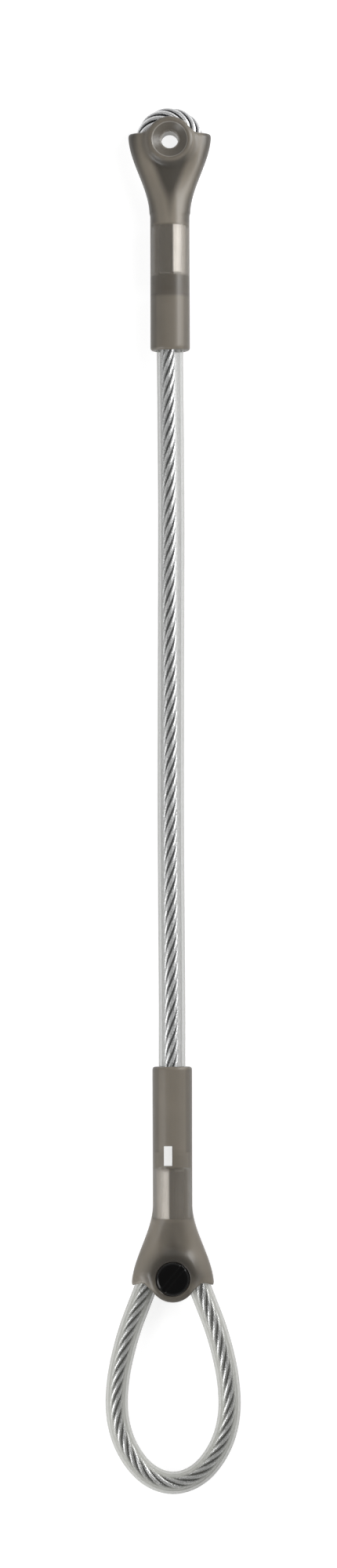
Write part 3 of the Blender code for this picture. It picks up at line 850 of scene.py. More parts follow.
@dataclass(frozen=True)
class PressedAluminium:
    """Bare aluminium of the pressed ferrules, with a painted highlight on one side of the flash line and
    painted shade on the other.
    """

    light: Colour = (0.86, 0.82, 0.76)
    dark: Colour = (0.60, 0.56, 0.51)
    # Painted highlight on one side of the flash line and painted shade on the other: where the change starts
    # and stops, and the share of colour kept on the shaded and the highlighted side
    highlight_start: float = 0.0009
    highlight_stop: float = 0.0017
    shaded_side_share: float = 0.16
    highlight_side_share: float = 0.88

    def material(self) -> Material:
        """Build the finish: draw marks along the ferrule and a few press scuffs, times a painted highlight on
        one side of the flash line and painted shade on the other.

        Returns:
            The finish.
        """
        g = Graph("pressed_aluminium")
        drawn = g.noise(g.place((1, 0.06, 1)), 1800.0, 4.0)
        x, y, _ = g.add("SeparateXYZ", None, {0: g.add("TexCoord").outputs["Object"]}).outputs
        side = g.math("MULTIPLY", x, g.math("SIGN", y))
        # Painted highlight: lighter on one side of the flash line, and the side flips from one end to the
        # other
        painted_highlight = g.span(
            side, self.shaded_side_share, self.highlight_side_share, self.highlight_start, self.highlight_stop, "SMOOTHSTEP"
        )
        return g.surface({
            "Base Color": g.blend("MULTIPLY", 1.0, g.blend("MIX", drawn, self.dark, self.light), painted_highlight),
            "Metallic": 0.7,
            "Roughness": g.span(g.noise(g.place(), 350.0, 5.0), 0.42, 0.60),
            "Normal": g.bump(drawn, 0.15, 0.0001),
        })


@dataclass(frozen=True)
class BlackPlastic:
    """Glossy black moulded plastic of the plug."""

    colour: Colour = (0.0006, 0.0005, 0.0005)
    rubbed: Colour = (0.0018, 0.0016, 0.0016)

    def material(self) -> Material:
        """Build the finish: near black, with a fine moulded grain and handling marks.

        Returns:
            The finish.
        """
        g = Graph("black_plastic")
        rub = g.noise(g.place(), 400.0, 4.0)
        return g.surface({
            "Base Color": g.blend("MIX", rub, self.colour, self.rubbed),
            "Roughness": g.span(rub, 0.10, 0.18),
            "Normal": g.bump(g.noise(g.place(), 3000.0, 2.0), 0.04, 0.0001),
            "Specular IOR Level": 0.18,
        })


@dataclass(frozen=True)
class WhitePrint:
    """Blank white printed field."""

    full: Colour = (0.95, 0.95, 0.94)
    worn: Colour = (0.88, 0.88, 0.87)

    def material(self) -> Material:
        """Build the finish: matt white ink, a little uneven.

        Returns:
            The finish.
        """
        g = Graph("white_print")
        cover = g.noise(g.place(), 1500.0)
        colour = g.blend("MIX", cover, self.full, self.worn)
        return g.surface({"Base Color": colour, "Roughness": g.span(cover, 0.45, 0.6)})


def dress(obj: Object, finish: Material, body: Body, slot: str, *nodes: str) -> Object:
    """Give a piece its finish, its body and the solids that it stands for.

    Args:
        obj: The piece.
        finish: Its material.
        body: The body that it rides on.
        slot: Not used.
        nodes: Names of the solids that it replaces.

    Returns:
        The same piece.
    """
    obj.data.materials.append(finish)
    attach(obj, body.value)
    if nodes:
        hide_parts(*nodes)
    LOG.info("%s: %d faces", obj.name, len(obj.data.polygons))
    return obj


@dataclass
class WireRope:
    """Six strands laid right-handed round a core, as one closed surface."""

    sizes: SlingSizes
    line: Array
    lay: float = 0.0336
    strands: int = 6
    arc_half: float = 120.0
    arc_points: int = 12
    strand_shift: float = 0.0037
    step: float = 0.0011

    def build(self, finish: Material) -> Object:
        """Carry six touching strand arcs along the rope, turning once in each lay.

        A strand's arc is a third of the rope's radius, set out two thirds of it, and runs 120 degrees
        each side of its crown, to where it touches its neighbour.

        Args:
            finish: The rope's material.

        Returns:
            The rope.
        """
        line = respaced(self.line, self.step)
        way = along(line)
        arc = np.radians(np.linspace(-self.arc_half, self.arc_half, self.arc_points + 1))[:-1]
        strand = np.exp(2j * np.pi * np.arange(self.strands) / self.strands)[:, None]
        profile = (strand * (2 + np.exp(1j * arc)) / 3).ravel()
        turned = profile * np.exp(2j * np.pi * way / self.lay)[:, None]
        turned = turned * self.radius(line)[:, None]
        rings = carried(line, np.stack([turned.real, turned.imag], axis=-1))
        rows, columns = turned.shape
        j = np.arange(columns)
        after = (j + 1) % columns
        last = (rows - 1) * columns
        caps = np.vstack([
            np.stack([after, j, np.full(columns, len(rings))], axis=1),
            np.stack([last + j, last + after, np.full(columns, len(rings) + 1)], axis=1),
        ])
        points = np.vstack([rings, line[:1], line[-1:]])
        rope = put_mesh("rope_strands", points, grid_quads(rows, columns), caps)
        self.map_strands(rope, way, columns, len(caps))
        dress(rope, finish, Body.SLING, "rope", "wire_rope")
        return rope

    def radius(self, line: Array) -> Array:
        """Radius along the rope, eased down to the pressed size inside each ferrule.

        Args:
            line: Points of the rope's middle line.

        Returns:
            One radius to a point.
        """
        s = self.sizes
        inside = np.zeros(len(line))
        for end in End:
            past = np.abs(line[:, 1] - s.ferrule_y(end)) - s.ferrule_length / 2
            inside = np.maximum(inside, 1 - ease(past / s.press_flare))
        return (s.rope_diameter + (s.pressed_diameter - s.rope_diameter) * inside) / 2

    def map_strands(self, rope: Object, way: Array, columns: int, caps: int) -> None:
        """Give each strand its own map: across its arc from 0 to 1, and the distance along the rope.

        Args:
            rope: The rope's object.
            way: Distance along the rope at each ring.
            columns: Points in each ring.
            caps: Number of cap triangles after the grid's faces.
        """
        i, j = np.meshgrid(np.arange(len(way) - 1), np.arange(columns), indexing="ij")
        left = (j % self.arc_points) / self.arc_points
        right = left + 1 / self.arc_points
        shift = (j // self.arc_points) * self.strand_shift
        u = np.stack([left, right, right, left], axis=-1)
        v = np.stack([way[i], way[i], way[i + 1], way[i + 1]], axis=-1) + shift[..., None]
        corners = np.stack([u, v], axis=-1).reshape(-1, 2)
        middle = np.full((caps * 3, 2), 0.5)
        layer = rope.data.uv_layers.new(name="strand")
        layer.data.foreach_set("uv", np.vstack([corners, middle]).ravel())


@dataclass
class ClearSheath:
    """A clear tube round the rope, with its bore."""

    node: str
    line: Array
    diameter: float
    wall: float
    sides: int = 48
    step: float = 0.0015

    def build(self, finish: Material) -> Object:
        """Carry the outer circle out along the line and the bore's circle back.

        Args:
            finish: The sheath's material.

        Returns:
            The sheath.
        """
        line = respaced(self.line, self.step)
        turn = np.linspace(0, 2 * np.pi, self.sides, endpoint=False)
        circle = np.stack([np.cos(turn), np.sin(turn)], axis=1)
        outer = carried(line, circle * self.diameter / 2)
        inner = carried(line, circle * (self.diameter / 2 - self.wall)).reshape(len(line), -1, 3)[::-1]
        points = np.vstack([outer, inner.reshape(-1, 3)])
        quads = grid_quads(2 * len(line), self.sides, closed_rows=True)
        sheath = put_mesh(self.node + "_tube", points, quads)
        dress(sheath, finish, Body.SLING, "sheath", self.node)
        return sheath


@dataclass(frozen=True)
class Change:
    """A smooth change along a distance in metres: where it starts, or has its middle, and its length."""

    start: float
    length: float

    def step(self, distance: Array) -> Array:
        """0 up to the start, 1 a length further on."""
        return ease((distance - self.start) / self.length)

    def bell(self, distance: Array) -> Array:
        """1 at the middle, falling off both ways as a Gaussian."""
        return np.exp(-(((distance - self.start) / self.length) ** 2))


@dataclass(frozen=True)
class MouldForm:
    """What differs between the two mouldings."""

    # Half thickness of the shoulder beside the rope legs, power of its superellipse and depth of its valley
    wing_height: float
    wing_power: float
    valley_depth: float
    # Fillet to the hub on the tube's side, what it loses on the eye's side, and share of the dish's wall
    web: float
    web_loss: float
    wall_share: float
    # Painted shade beside a rope leg, its pace outside the leg against inside, and the painted light that is
    # left
    leg_change: Change
    outer_fade: float
    least_glow: float
    # Painted light of the tube, and the painted shade over the hollow behind the ferrule
    tube_glow: float
    hollow_shade: float


MOULD_FORMS = {
    End.SMALL: MouldForm(
        wing_height=0.0042, wing_power=2.4, valley_depth=0.0, web=0.0030, web_loss=0.0, wall_share=0.4,
        leg_change=Change(0.0008, 0.0030), outer_fade=0.9, least_glow=0.11, tube_glow=0.74, hollow_shade=0.55,
    ),
    End.LARGE: MouldForm(
        wing_height=0.0063, wing_power=2.2, valley_depth=0.48, web=0.0060, web_loss=0.0034, wall_share=1.0,
        leg_change=Change(0.0008, 0.0060), outer_fade=0.5, least_glow=0.06, tube_glow=0.80, hollow_shade=0.12,
    ),
}


@dataclass
class Sleeve:
    """Moulded sleeve: a tube that flares into a shoulder, with a spool hub let into it."""

    sizes: SlingSizes
    end: End
    line: Array
    # The shoulder and its valley, which are a little fuller than the solids'
    shoulder_reach: float = 0.0029
    flare_length: float = 0.0305
    valley_width: float = 0.0046
    round_power: float = 2.0
    least_slope: float = 20.0
    # Ridges over the small end's rope legs
    ridge_radius: float = 0.0050
    ridge_fillet: float = 0.0018
    ridge_inset: float = 0.0003
    ridge_rounding: float = 0.0012
    ridge_stop: float = 0.0040
    # Roundings of edges, and the fillet's change from the tube's side of the hub to the eye's
    shoulder_rounding: float = 0.0016
    mouth_rounding: float = 0.0012
    hub_rounding: float = 0.0019
    face_rounding: float = 0.0008
    hollow_rounding: float = 0.0005
    hole_rounding: float = 0.0004
    web_change: Change = Change(-0.0030, 0.0050)
    # Hollows
    leg_margin: float = 0.0020
    leg_top: float = 0.0160
    bore_lead: float = 0.0012
    head_gap: float = 0.0002
    dish_power: float = 1.4
    # Painted light and shade of the tube and the shoulder, and how clear the wall is over the ferrule
    density: float = 430.0
    soft_middle: float = 0.0011
    edge_shade: float = 0.6
    hollow_cover: float = 0.85
    tube_change: Change = Change(-0.0006, 0.0030)
    near_edge: Change = Change(-0.0004, 0.0008)
    far_edge: Change = Change(0.0, 0.0022)
    hollow_start: Change = Change(0.0, 0.0006)
    hollow_stop: Change = Change(0.0, 0.0016)
    pocket_start: Change = Change(0.0007, 0.0007)
    pocket_stop: Change = Change(-0.0016, 0.0012)
    # Painted light and shade of the open hub: a lit lip and dish, a painted highlight at its rim and painted
    # shade round its fillet, and how clear the lip is
    lip_glow: float = 0.5
    lip_clear: float = 0.6
    dish_glow: float = 0.34
    rim_glow: float = 0.66
    fillet_shade: float = 0.4
    front_lip: Change = Change(0.0001, 0.0005)
    back_lip: Change = Change(0.0001, 0.0024)
    hub_rim: Change = Change(-0.0012, 0.0014)
    hub_edge: Change = Change(-0.0012, 0.0016)
    hub_fillet: Change = Change(0.0010, 0.0014)
    # Painted shade round the hub with the plug, and a ring of painted light on the eye's side
    middle_shade: float = 0.5
    middle_width: float = 0.0055
    middle_power: int = 4
    plug_glow: float = 0.08
    plug_rise: float = 0.85
    ring_glow: float = 0.30
    plug_change: Change = Change(-0.0010, 0.0060)
    plug_edge: Change = Change(-0.0016, 0.0068)
    ring_edge: Change = Change(-0.0004, 0.0014)
    ring_change: Change = Change(-0.0040, 0.0060)
    # Grid that the surface is drawn on
    grid_half_width: float = 0.0166
    grid_half_height: float = 0.0084
    grid_top: float = 0.0104
    grid_margin: float = 0.0016
    step: float = 0.0004

    @property
    def form(self) -> MouldForm:
        """This end's own form."""
        return MOULD_FORMS[self.end]

    def leg(self, y: Array) -> tuple[Array, Array, Array]:
        """Follow one rope leg through the sleeve.

        Args:
            y: Distances from the hub, away from the mouth.

        Returns:
            The leg's distance from the middle, its height off the middle plane, and the cosine of its slant.
        """
        s = self.sizes
        local = (self.line - s.hub(self.end)) * np.array([1, -self.end.inward, 1])
        low = -s.ferrule_drop(self.end) - self.leg_margin
        found = local[(local[:, 0] > 0) & (local[:, 1] > low) & (local[:, 1] < self.leg_top)]
        found = found[np.argsort(found[:, 1])]
        slant = np.gradient(found[:, 0], found[:, 1])
        x, z, slope = (np.interp(y, found[:, 1], value) for value in (found[:, 0], found[:, 2], slant))
        return x, z, 1 / np.sqrt(1 + slope**2)

    def leg_distance(self, x: Array, y: Array, z: Array) -> Array:
        """Distance to the nearer rope leg, from the hub's middle."""
        leg_x, leg_z, slant = self.leg(y)
        return np.hypot((np.abs(x) - leg_x) * slant, z - leg_z)

    def cavities(self, spot: Spot) -> Array:
        """Field of the hollows: the two rope tunnels, the ferrule's pocket and the sheath's bore.

        Args:
            spot: Distances from the hub's middle: across, away from the mouth, and up.

        Returns:
            The field, negative in the hollows.
        """
        s = self.sizes
        x, y, z = spot
        ferrule, sheath = s.ferrule_drop(self.end), s.sheath_drop(self.end)
        away = self.leg_distance(x, y, z)
        rope = s.rope_diameter / 2 + s.clearance
        if self.end is End.SMALL:
            ring = np.hypot(np.hypot(x, np.maximum(y, 0.0)) - s.small_eye_radius, z)
            tunnels = np.where(y > 0, ring, away) - rope
        else:
            tube = s.eye_sheath_diameter / 2 + s.clearance
            tunnels = np.minimum(away - rope, np.maximum(away - tube, -s.eye_sheath_insert - s.clearance - y))
        tunnels = np.maximum(tunnels, -ferrule - y)
        axis = np.hypot(x, z)
        inside = np.maximum(y + ferrule - s.clearance, -sheath - y)
        pocket = np.maximum(axis - s.ferrule_diameter / 2 - s.clearance, inside)
        bore = np.maximum(axis - s.main_sheath_diameter / 2 - s.clearance, y + sheath - self.bore_lead)
        return np.minimum(np.minimum(tunnels, pocket), bore)

    def outside(self, spot: Spot) -> Array:
        """Field of the sleeve's outside.

        Each section is a superellipse whose half width, half height and power ease from the thin shoulder's
        to the round tube's, pressed in between the rope legs by a Gaussian valley. At the small end a round
        ridge over each leg, cut to the shoulder's outline, is joined to it. The hub's drum is joined last.

        Args:
            spot: Distances from the hub's middle: across, away from the mouth, and up.

        Returns:
            The field, negative inside.
        """
        s, form = self.sizes, self.form
        x, y, z = spot
        down = -y
        flare = ease((down + self.shoulder_reach) / self.flare_length)
        lip = ease((down - s.sleeve_length / 2) / (s.sleeve_length / 2))
        tube = (s.sleeve_tube_diameter + (s.sleeve_lip_diameter - s.sleeve_tube_diameter) * lip) / 2
        half_width = s.shoulder_width / 2 * (1 - flare) + tube * flare
        half_height = form.wing_height * (1 - flare) + tube * flare
        power = form.wing_power * (1 - flare) + self.round_power * flare
        pressed = 1 - form.valley_depth * (1 - flare) * np.exp(-((x / self.valley_width) ** 2))
        wide, high = np.abs(x) / half_width, np.abs(z) / (half_height * pressed)
        section = (wide**power + high**power) ** (1 / power) - 1
        slopes = np.gradient(section, self.step)
        section = section / np.maximum(np.sqrt(sum(g * g for g in slopes)), self.least_slope)
        if self.end is End.SMALL:
            ridge = self.leg_distance(x, y, z) - self.ridge_radius
            ridge = meet(ridge, np.abs(x) - half_width + self.ridge_inset, self.ridge_rounding)
            ridge = np.maximum(ridge, down - s.ferrule_drop(self.end) + self.ridge_stop)
            section = join(section, ridge, self.ridge_fillet)
        section = meet(section, y - self.shoulder_reach, self.shoulder_rounding)
        section = meet(section, down - s.sleeve_length, self.mouth_rounding)
        front = s.hub_thickness / 2
        back = front if self.end is End.SMALL else s.lower_hub_back
        middle, half = (front - back) / 2, (front + back) / 2
        hub = drum(np.hypot(x, y), z - middle, s.hub_diameter / 2, half, self.hub_rounding)
        body = join(section, hub, form.web - form.web_loss * self.web_change.step(y))
        body = meet(body, z - front, self.face_rounding)
        return meet(body, -z - back, self.face_rounding)

    def hole(self, spot: Spot) -> Array:
        """Field of the dish and the through hole, with a second dish behind where the hub is open.

        Args:
            spot: Distances from the hub's middle: across, away from the mouth, and up.

        Returns:
            The field, negative in the dish and the hole.
        """
        s = self.sizes
        x, y, z = spot
        r = np.hypot(x, y)
        hole = s.hole_diameter / 2
        rim, height = s.dish_diameter / 2, np.abs(z)
        if self.end is End.LARGE:
            rim, height = s.plug_head_diameter / 2 + self.head_gap, z
        share = np.clip((r - hole) / (rim - hole), 0.0, 1.0)
        rise = s.dish_depth - s.dish_wall * self.form.wall_share
        floor = s.hub_thickness / 2 - s.dish_depth + rise * share**self.dish_power
        return np.minimum(r - hole, np.maximum(r - rim, floor - height))

    def see_through(self, points: Array) -> tuple[Array, Array]:
        """Work out the painted light and shade of the moulding, and how clear it is, at each point.

        The painted light is brightest right over a rope leg or the sheath, and painted shade deepens with the
        distance beside them, towards the tube's edges and over the hollow behind the ferrule. Over the
        ferrule it clears with the exponent of the wall's thickness, and less so over the hollow behind the
        ferrule.

        Args:
            points: Places on the sleeve, from the hub's middle.

        Returns:
            The painted light and shade, and the clearness, from 0 to 1.
        """
        s, form = self.sizes, self.form
        x, y, z = points.T
        r = np.hypot(x, y)
        leg_x, _, slant = self.leg(y)
        beside = (np.sqrt(x**2 + self.soft_middle**2) - leg_x) * slant
        # Painted light over each rope leg, fading into painted shade beside it
        leg = 1 - form.leg_change.step(np.where(beside > 0, beside * form.outer_fade, -beside))
        leg = form.least_glow + (1 - form.least_glow) * leg
        start = -y - s.ferrule_drop(self.end)
        stop = -y - s.sheath_drop(self.end)
        tube = self.tube_change.step(start)
        past = np.abs(x) - np.where(stop > 0, s.main_sheath_diameter, s.ferrule_diameter) / 2
        edge = (self.near_edge.step(past) + self.far_edge.step(past)) / 2
        behind = self.hollow_start.step(start - s.ferrule_length) * (1 - self.hollow_stop.step(stop))
        # Painted light over the tube, painted shade at its edges and over the hollow behind the ferrule
        glow = leg * (1 - tube) + form.tube_glow * (1 - self.edge_shade * edge) * tube
        glow = glow * (1 - form.hollow_shade * behind)
        cover = np.maximum(np.hypot(x, z) - s.ferrule_diameter / 2, 0.0)
        over_pocket = self.pocket_start.step(start) * (1 - self.pocket_stop.step(stop))
        clear = np.exp(-cover * self.density) * over_pocket * (1 - self.hollow_cover * behind)
        if self.end is End.SMALL:
            return self.open_hub(r, z, glow, clear)
        # Painted shade in the middle between the rope legs
        middle = np.exp(-((x / self.middle_width) ** self.middle_power))
        glow = glow * (1 - self.middle_shade * middle * (1 - tube))
        return self.plugged_hub(r, y, glow), clear

    def open_hub(self, r: Array, z: Array, glow: Array, clear: Array) -> tuple[Array, Array]:
        """Paint light and shade on an open hub: its lip is thin, clear and lit, its rim gets a painted
        highlight, and the fillet round it painted shade.

        Args:
            r: Distance from the hub's axis.
            z: Height.
            glow: Painted light and shade of the shoulder.
            clear: Clearness of the shoulder.

        Returns:
            The painted light and shade, and the clearness, with the hub.
        """
        s = self.sizes
        inner, outer = r - s.hole_diameter / 2, r - s.hub_diameter / 2
        lip = 1 - np.where(z > 0, self.front_lip.step(inner), self.back_lip.step(inner))
        hub = 1 - self.hub_edge.step(outer)
        face = np.maximum(self.rim_glow * self.hub_rim.bell(outer), self.dish_glow + self.lip_glow * lip)
        shoulder = glow * (1 - self.fillet_shade * self.hub_fillet.bell(outer))
        return shoulder * (1 - hub) + face * hub, np.maximum(clear, self.lip_clear * lip)

    def plugged_hub(self, r: Array, y: Array, glow: Array) -> Array:
        """Paint shade round a hub with the plug on the tube's side, and keep a ring of painted light on the
        eye's side.

        Args:
            r: Distance from the hub's axis.
            y: Distance away from the mouth.
            glow: Painted light and shade of the shoulder.

        Returns:
            The painted light and shade with the hub.
        """
        outer = r - self.sizes.hub_diameter / 2
        least = self.plug_glow + self.plug_rise * self.plug_change.step(y)
        glow = glow * (least + (1 - least) * self.plug_edge.step(outer))
        ring = (1 - self.ring_edge.step(outer)) * self.ring_change.step(y)
        return np.maximum(glow, self.ring_glow * ring)

    def build(self, finish: Material) -> Object:
        """Draw the sleeve's surface, and store its painted light and shade and how clear it is at each point.

        Args:
            finish: The sleeve's material.

        Returns:
            The sleeve.
        """
        s = self.sizes
        low = np.array([-self.grid_half_width, -s.sleeve_length - self.grid_margin, -self.grid_half_height])
        high = np.array([self.grid_half_width, self.grid_top, self.grid_half_height])
        spot = grid_axes(low, high, self.step)
        solid = meet(self.outside(spot), -self.cavities(spot), self.hollow_rounding)
        solid = meet(solid, -self.hole(spot), self.hole_rounding)
        points, quads = field_surface(solid, low, self.step)
        tones = self.see_through(points)
        if self.end is End.LARGE:
            points = points * np.array([-1, -1, 1])
        sleeve = put_mesh(self.end.value + "_sleeve_moulding", points + s.hub(self.end), quads)
        for kind, values in zip(SKIN_TONES, tones):
            layer = sleeve.data.attributes.new(kind, "FLOAT", "POINT")
            layer.data.foreach_set("value", values.astype(np.float32))
        return dress(sleeve, finish, Body.SLING, "sleeve", self.end.value + "_sleeve")


@dataclass
class Ferrule:
    """Pressed ferrule with two rope bores and the flash line of the press."""

    sizes: SlingSizes
    end: End
    seam: float = 0.0009
    seam_height: float = 0.00022
    seam_width: float = 0.00035
    seam_seat: float = 0.00015
    end_rounding: float = 0.0013
    bore_rounding: float = 0.0005
    margin: float = 0.001
    step: float = 0.00028

    def build(self, finish: Material) -> Object:
        """Draw a rounded drum with a fine ridge along it, less the two bores.

        Args:
            finish: The ferrule's material.

        Returns:
            The ferrule.
        """
        s = self.sizes
        half = s.ferrule_length / 2
        radius = s.ferrule_diameter / 2
        low = -np.array([radius, half, radius]) - self.margin
        x, y, z = grid_axes(low, -low, self.step)
        ridge = self.seam_height * np.exp(-(((x - self.seam) / self.seam_width) ** 2))
        barrel = drum(np.hypot(x, z) - ridge, y, radius - self.seam_seat, half, self.end_rounding)
        bores = np.hypot(np.abs(x) - s.leg_offset, z) - s.pressed_diameter / 2 - s.clearance
        solid = meet(barrel, -bores, self.bore_rounding)
        name = self.end.value + "_ferrule"
        middle = np.array([0.0, s.ferrule_y(self.end), s.middle_height])
        ferrule = put_field(name + "_pressing", solid, low, self.step, middle)
        return dress(ferrule, finish, Body.SLING, "ferrule", name)


@dataclass
class Plug:
    """Slotted screw and flanged nut that close the lower hub's hole."""

    sizes: SlingSizes
    bevel: float = 0.0009
    bevel_slope: float = math.radians(28)
    dip: float = 0.00018
    dip_share: float = 0.86
    dip_change: float = 0.0009
    head_rounding: float = 0.00045
    face_rounding: float = 0.0002
    shank_rounding: float = 0.0003
    shank_lead: float = 0.0003
    shank_fillet: float = 0.0005
    slot_rounding: float = 0.0003
    flange_rounding: float = 0.0003
    barrel_rounding: float = 0.0002
    screw_margin: float = 0.0006
    nut_margin: float = 0.0007
    screw_step: float = 0.00017
    nut_step: float = 0.0002

    def build_screw(self, finish: Material) -> Object:
        """Draw the head's rounded drum and the shank, less the slot.

        Args:
            finish: The screw's material.

        Returns:
            The screw.
        """
        s = self.sizes
        seat = s.hub_thickness / 2 - s.dish_wall + s.clearance
        top = seat + s.plug_head_height
        foot = -s.lower_hub_back + s.plug_shank_floor
        radius = s.plug_head_diameter / 2
        low, high = box_round(radius, foot, top, self.screw_margin)
        x, y, z = grid_axes(low, high, self.screw_step)
        r = np.hypot(x, y)
        head = drum(r, z - (seat + top) / 2, radius, (top - seat) / 2, self.head_rounding)
        dip = self.dip * ease((radius * self.dip_share - r) / self.dip_change)
        head = meet(head, z + dip - top, self.face_rounding)
        sine, cosine = math.sin(self.bevel_slope), math.cos(self.bevel_slope)
        bevel = (r - radius + self.bevel) * sine + (z - top) * cosine
        head = meet(head, bevel, self.face_rounding)
        half = (seat - foot) / 2 + self.shank_lead
        shank = drum(r, z - (foot + seat) / 2, s.plug_shank_diameter / 2, half, self.shank_rounding)
        across = -x * math.sin(s.slot_angle) + y * math.cos(s.slot_angle)
        slot = np.maximum(np.abs(across) - s.slot_width / 2, top - s.slot_depth - z)
        solid = meet(join(head, shank, self.shank_fillet), -slot, self.slot_rounding)
        screw = put_field("plug_slotted_head", solid, low, self.screw_step, s.hub(End.LARGE))
        return dress(screw, finish, Body.PLUG, "plug", "plug_screw")

    def build_nut(self, finish: Material) -> Object:
        """Draw the flange's drum and the barrel, less the bore.

        Args:
            finish: The nut's material.

        Returns:
            The nut.
        """
        s = self.sizes
        top = s.hub_thickness / 2 - s.dish_depth - s.clearance
        flange_top = -s.lower_hub_back - s.clearance
        bottom = flange_top - s.nut_flange_thickness
        floor = -s.lower_hub_back + s.plug_shank_floor - s.clearance
        radius = s.nut_flange_diameter / 2
        low, high = box_round(radius, bottom, top, self.nut_margin)
        x, y, z = grid_axes(low, high, self.nut_step)
        r = np.hypot(x, y)
        half = s.nut_flange_thickness / 2
        flange = drum(r, z - (flange_top + bottom) / 2, radius, half, self.flange_rounding)
        inner, half = s.hole_diameter / 2 - s.clearance, (top - bottom) / 2
        barrel = drum(r, z - (top + bottom) / 2, inner, half, self.barrel_rounding)
        bore = np.maximum(r - s.plug_shank_diameter / 2 - s.clearance, floor - z)
        solid = meet(np.minimum(flange, barrel), -bore, self.barrel_rounding)
        nut = put_field("plug_flanged_nut", solid, low, self.nut_step, s.hub(End.LARGE))
        return dress(nut, finish, Body.SLING, "plug", "plug_nut")


@dataclass
class BlankField:
    """Blank white field printed on the lower sleeve's tube."""

    sizes: SlingSizes
    left: float = -0.0032
    right: float = -0.0001
    low_y: float = -0.1375
    high_y: float = -0.1301
    seat: float = 0.00004
    lift: float = 0.00003
    depth: float = 0.00012
    power: int = 40
    sides: int = 256
    merge_distance: float = 1e-7

    def build(self, finish: Material) -> Object:
        """Bend a thin rectangle onto the tube: rings of a high superellipse, out over its face and back.

        Args:
            finish: The print's material.

        Returns:
            The field.
        """
        s = self.sizes
        turn = np.linspace(0, 2 * np.pi, self.sides, endpoint=False)
        cosine, sine = np.cos(turn), np.sin(turn)
        outward = np.array([0.0, 0.4, 0.8, 1.0])
        share = np.concatenate([outward, outward[::-1]])[:, None]
        skin = np.repeat([self.lift, -self.depth], len(outward))[:, None]
        square = (np.abs(cosine) ** self.power + np.abs(sine) ** self.power) ** (-1 / self.power)
        x = (self.left + self.right) / 2 + (self.right - self.left) / 2 * share * square * cosine
        y = (self.low_y + self.high_y) / 2 + (self.high_y - self.low_y) / 2 * share * square * sine
        z = np.sqrt((s.sleeve_tube_diameter / 2 + self.seat + skin) ** 2 - x**2) + s.middle_height
        points = np.stack([x, y, z], axis=-1).reshape(-1, 3)
        field = put_mesh("blank_field", points, grid_quads(len(share), self.sides))
        tool = bmesh.new()
        tool.from_mesh(field.data)
        bmesh.ops.remove_doubles(tool, verts=tool.verts, dist=self.merge_distance)
        bmesh.ops.recalc_face_normals(tool, faces=tool.faces)
        tool.to_mesh(field.data)
        tool.free()
        return dress(field, finish, Body.SLING, "sleeve")


@dataclass(frozen=True)
class SoftBox:
    """One soft box that faces the sling. Its power is in watts."""

    name: str
    place: tuple[float, float, float]
    power: float
    width: float = 0.35
    length: float = 0.70

    def hang(self) -> None:
        """Hang the lamp."""
        data = bpy.data.lights.new(self.name, "AREA")
        data.shape = "RECTANGLE"
        data.size, data.size_y = self.width, self.length
        data.energy = self.power
        lamp = bpy.data.objects.new(self.name, data)
        lamp.location = self.place
        lamp.rotation_euler = (-Vector(self.place)).to_track_quat("-Z", "Y").to_euler()
        bpy.context.scene.collection.objects.link(lamp)


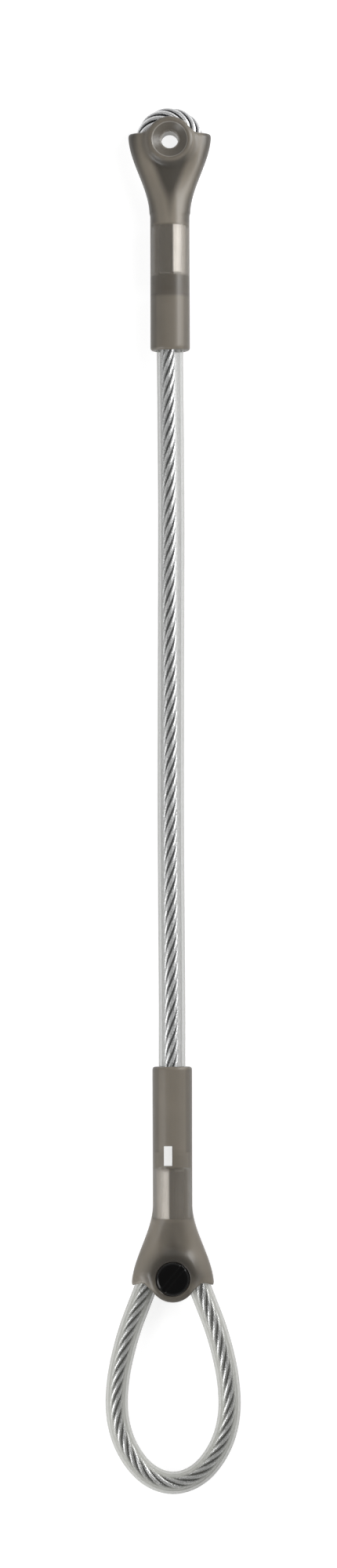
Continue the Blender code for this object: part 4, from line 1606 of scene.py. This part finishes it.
@dataclass
class Studio:
    """Pale floor, soft lamps and the camera."""

    sizes: SlingSizes
    stand: tuple[float, float, float] = (-0.0011, -0.06, 2.07)
    aim: tuple[float, float] = (-0.0011, 0.0055)
    roll: float = math.radians(-0.16)
    frame_height: float = 0.5890
    sensor: float = 36.0
    floor_half: float = 6.0
    floor_height: float = -0.0003
    floor_tones: Stops = ((0.0, 0.44), (1.0, 0.46))
    floor_glow: float = 0.80
    room_level: float = 0.32
    ceiling_start: float = 0.55
    ceiling_stop: float = 0.95
    ceiling_share: float = 0.3
    lamps: tuple[SoftBox, ...] = (
        SoftBox("left", (-0.62, -0.42, 0.42), 4.6),
        SoftBox("right", (0.62, 0.42, 0.42), 7.0),
    )

    def build_camera(self) -> Object:
        """Stand the camera about two metres over the sling, a little below its middle.

        Returns:
            The camera.
        """
        data = bpy.data.cameras.new("camera")
        target = Vector((*self.aim, self.sizes.middle_height))
        back = Vector(self.stand) - target
        data.sensor_width = self.sensor
        data.lens = data.sensor_width * back.length / self.frame_height
        camera = bpy.data.objects.new("camera", data)
        turn = (-back).to_track_quat("-Z", "Y").to_matrix() @ Matrix.Rotation(self.roll, 3, "Z")
        camera.matrix_world = Matrix.Translation(self.stand) @ turn.to_4x4()
        bpy.context.scene.collection.objects.link(camera)
        bpy.context.scene.camera = camera
        return camera

    def build_floor(self) -> Object:
        """Lay a wide grey floor just under the sling, which the camera sees as white.

        Returns:
            The floor.
        """
        corners = np.array([(-1, -1), (1, -1), (1, 1), (-1, 1)]) * self.floor_half
        points = np.column_stack([corners, np.full(len(corners), self.floor_height)])
        floor = put_mesh("floor", points, np.array([[0, 1, 2, 3]]))
        g = Graph("white_floor")
        floor.data.materials.append(g.surface({
            "Base Color": g.ramp(g.noise(g.place(), 8.0), self.floor_tones),
            "Roughness": 0.9,
            "Specular IOR Level": 0.0,
            "Emission Color": WHITE,
            "Emission Strength": g.math("MULTIPLY", g.shown(), self.floor_glow),
        }))
        return floor

    def build_lights(self) -> None:
        """Hang soft boxes round the sling in a grey room, dimmer overhead, that the camera sees as white."""
        g = Graph("room", bpy.data.worlds)
        upward = g.add("SeparateXYZ", None, {0: g.add("TexCoord").outputs["Generated"]}).outputs[2]
        ceiling = g.span(upward, 1.0, self.ceiling_share, self.ceiling_start, self.ceiling_stop)
        level = g.math("MULTIPLY", g.span(g.shown(), self.room_level, 1.0), ceiling)
        back = g.add("Background", None, {"Color": WHITE, "Strength": level})
        g.add("OutputWorld", None, {"Surface": back.outputs[0]})
        bpy.context.scene.world = g.owner
        for lamp in self.lamps:
            lamp.hang()


def write_sizes() -> None:
    """Update the view layer."""
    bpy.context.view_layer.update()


def main() -> None:
    """Build the camera, the rope and sheaths, the mouldings and the studio, in order."""
    logging.basicConfig(level=logging.INFO, format="%(name)s %(message)s")
    bpy.context.scene.view_settings.view_transform = "Standard"
    sizes = SlingSizes()
    studio = Studio(sizes)
    studio.build_camera()
    route = RopeRoute(sizes)
    line = route.line()
    main_line, eye_line = route.parts()
    WireRope(sizes, route.leaned()).build(GalvanisedWire().material())
    main_sheath = ClearSheath("main_sheath", main_line, sizes.main_sheath_diameter, sizes.main_sheath_wall)
    main_sheath.build(ClearSheathing().material())
    eye_sheath = ClearSheath("eye_sheath", eye_line, sizes.eye_sheath_diameter, sizes.eye_sheath_wall)
    eye_sheath.build(MILKY_SHEATHING.material())
    smoke = SmokyElastomer(sizes.hub_y(End.SMALL), sizes.dish_diameter / 2).material()
    alloy = PressedAluminium().material()
    for end in End:
        Sleeve(sizes, end, line).build(smoke)
        Ferrule(sizes, end).build(alloy)
    plug = Plug(sizes)
    black = BlackPlastic().material()
    plug.build_screw(black)
    plug.build_nut(black)
    BlankField(sizes).build(WhitePrint().material())
    studio.build_floor()
    studio.build_lights()
    write_sizes()


if __name__ == "__main__":
    main()
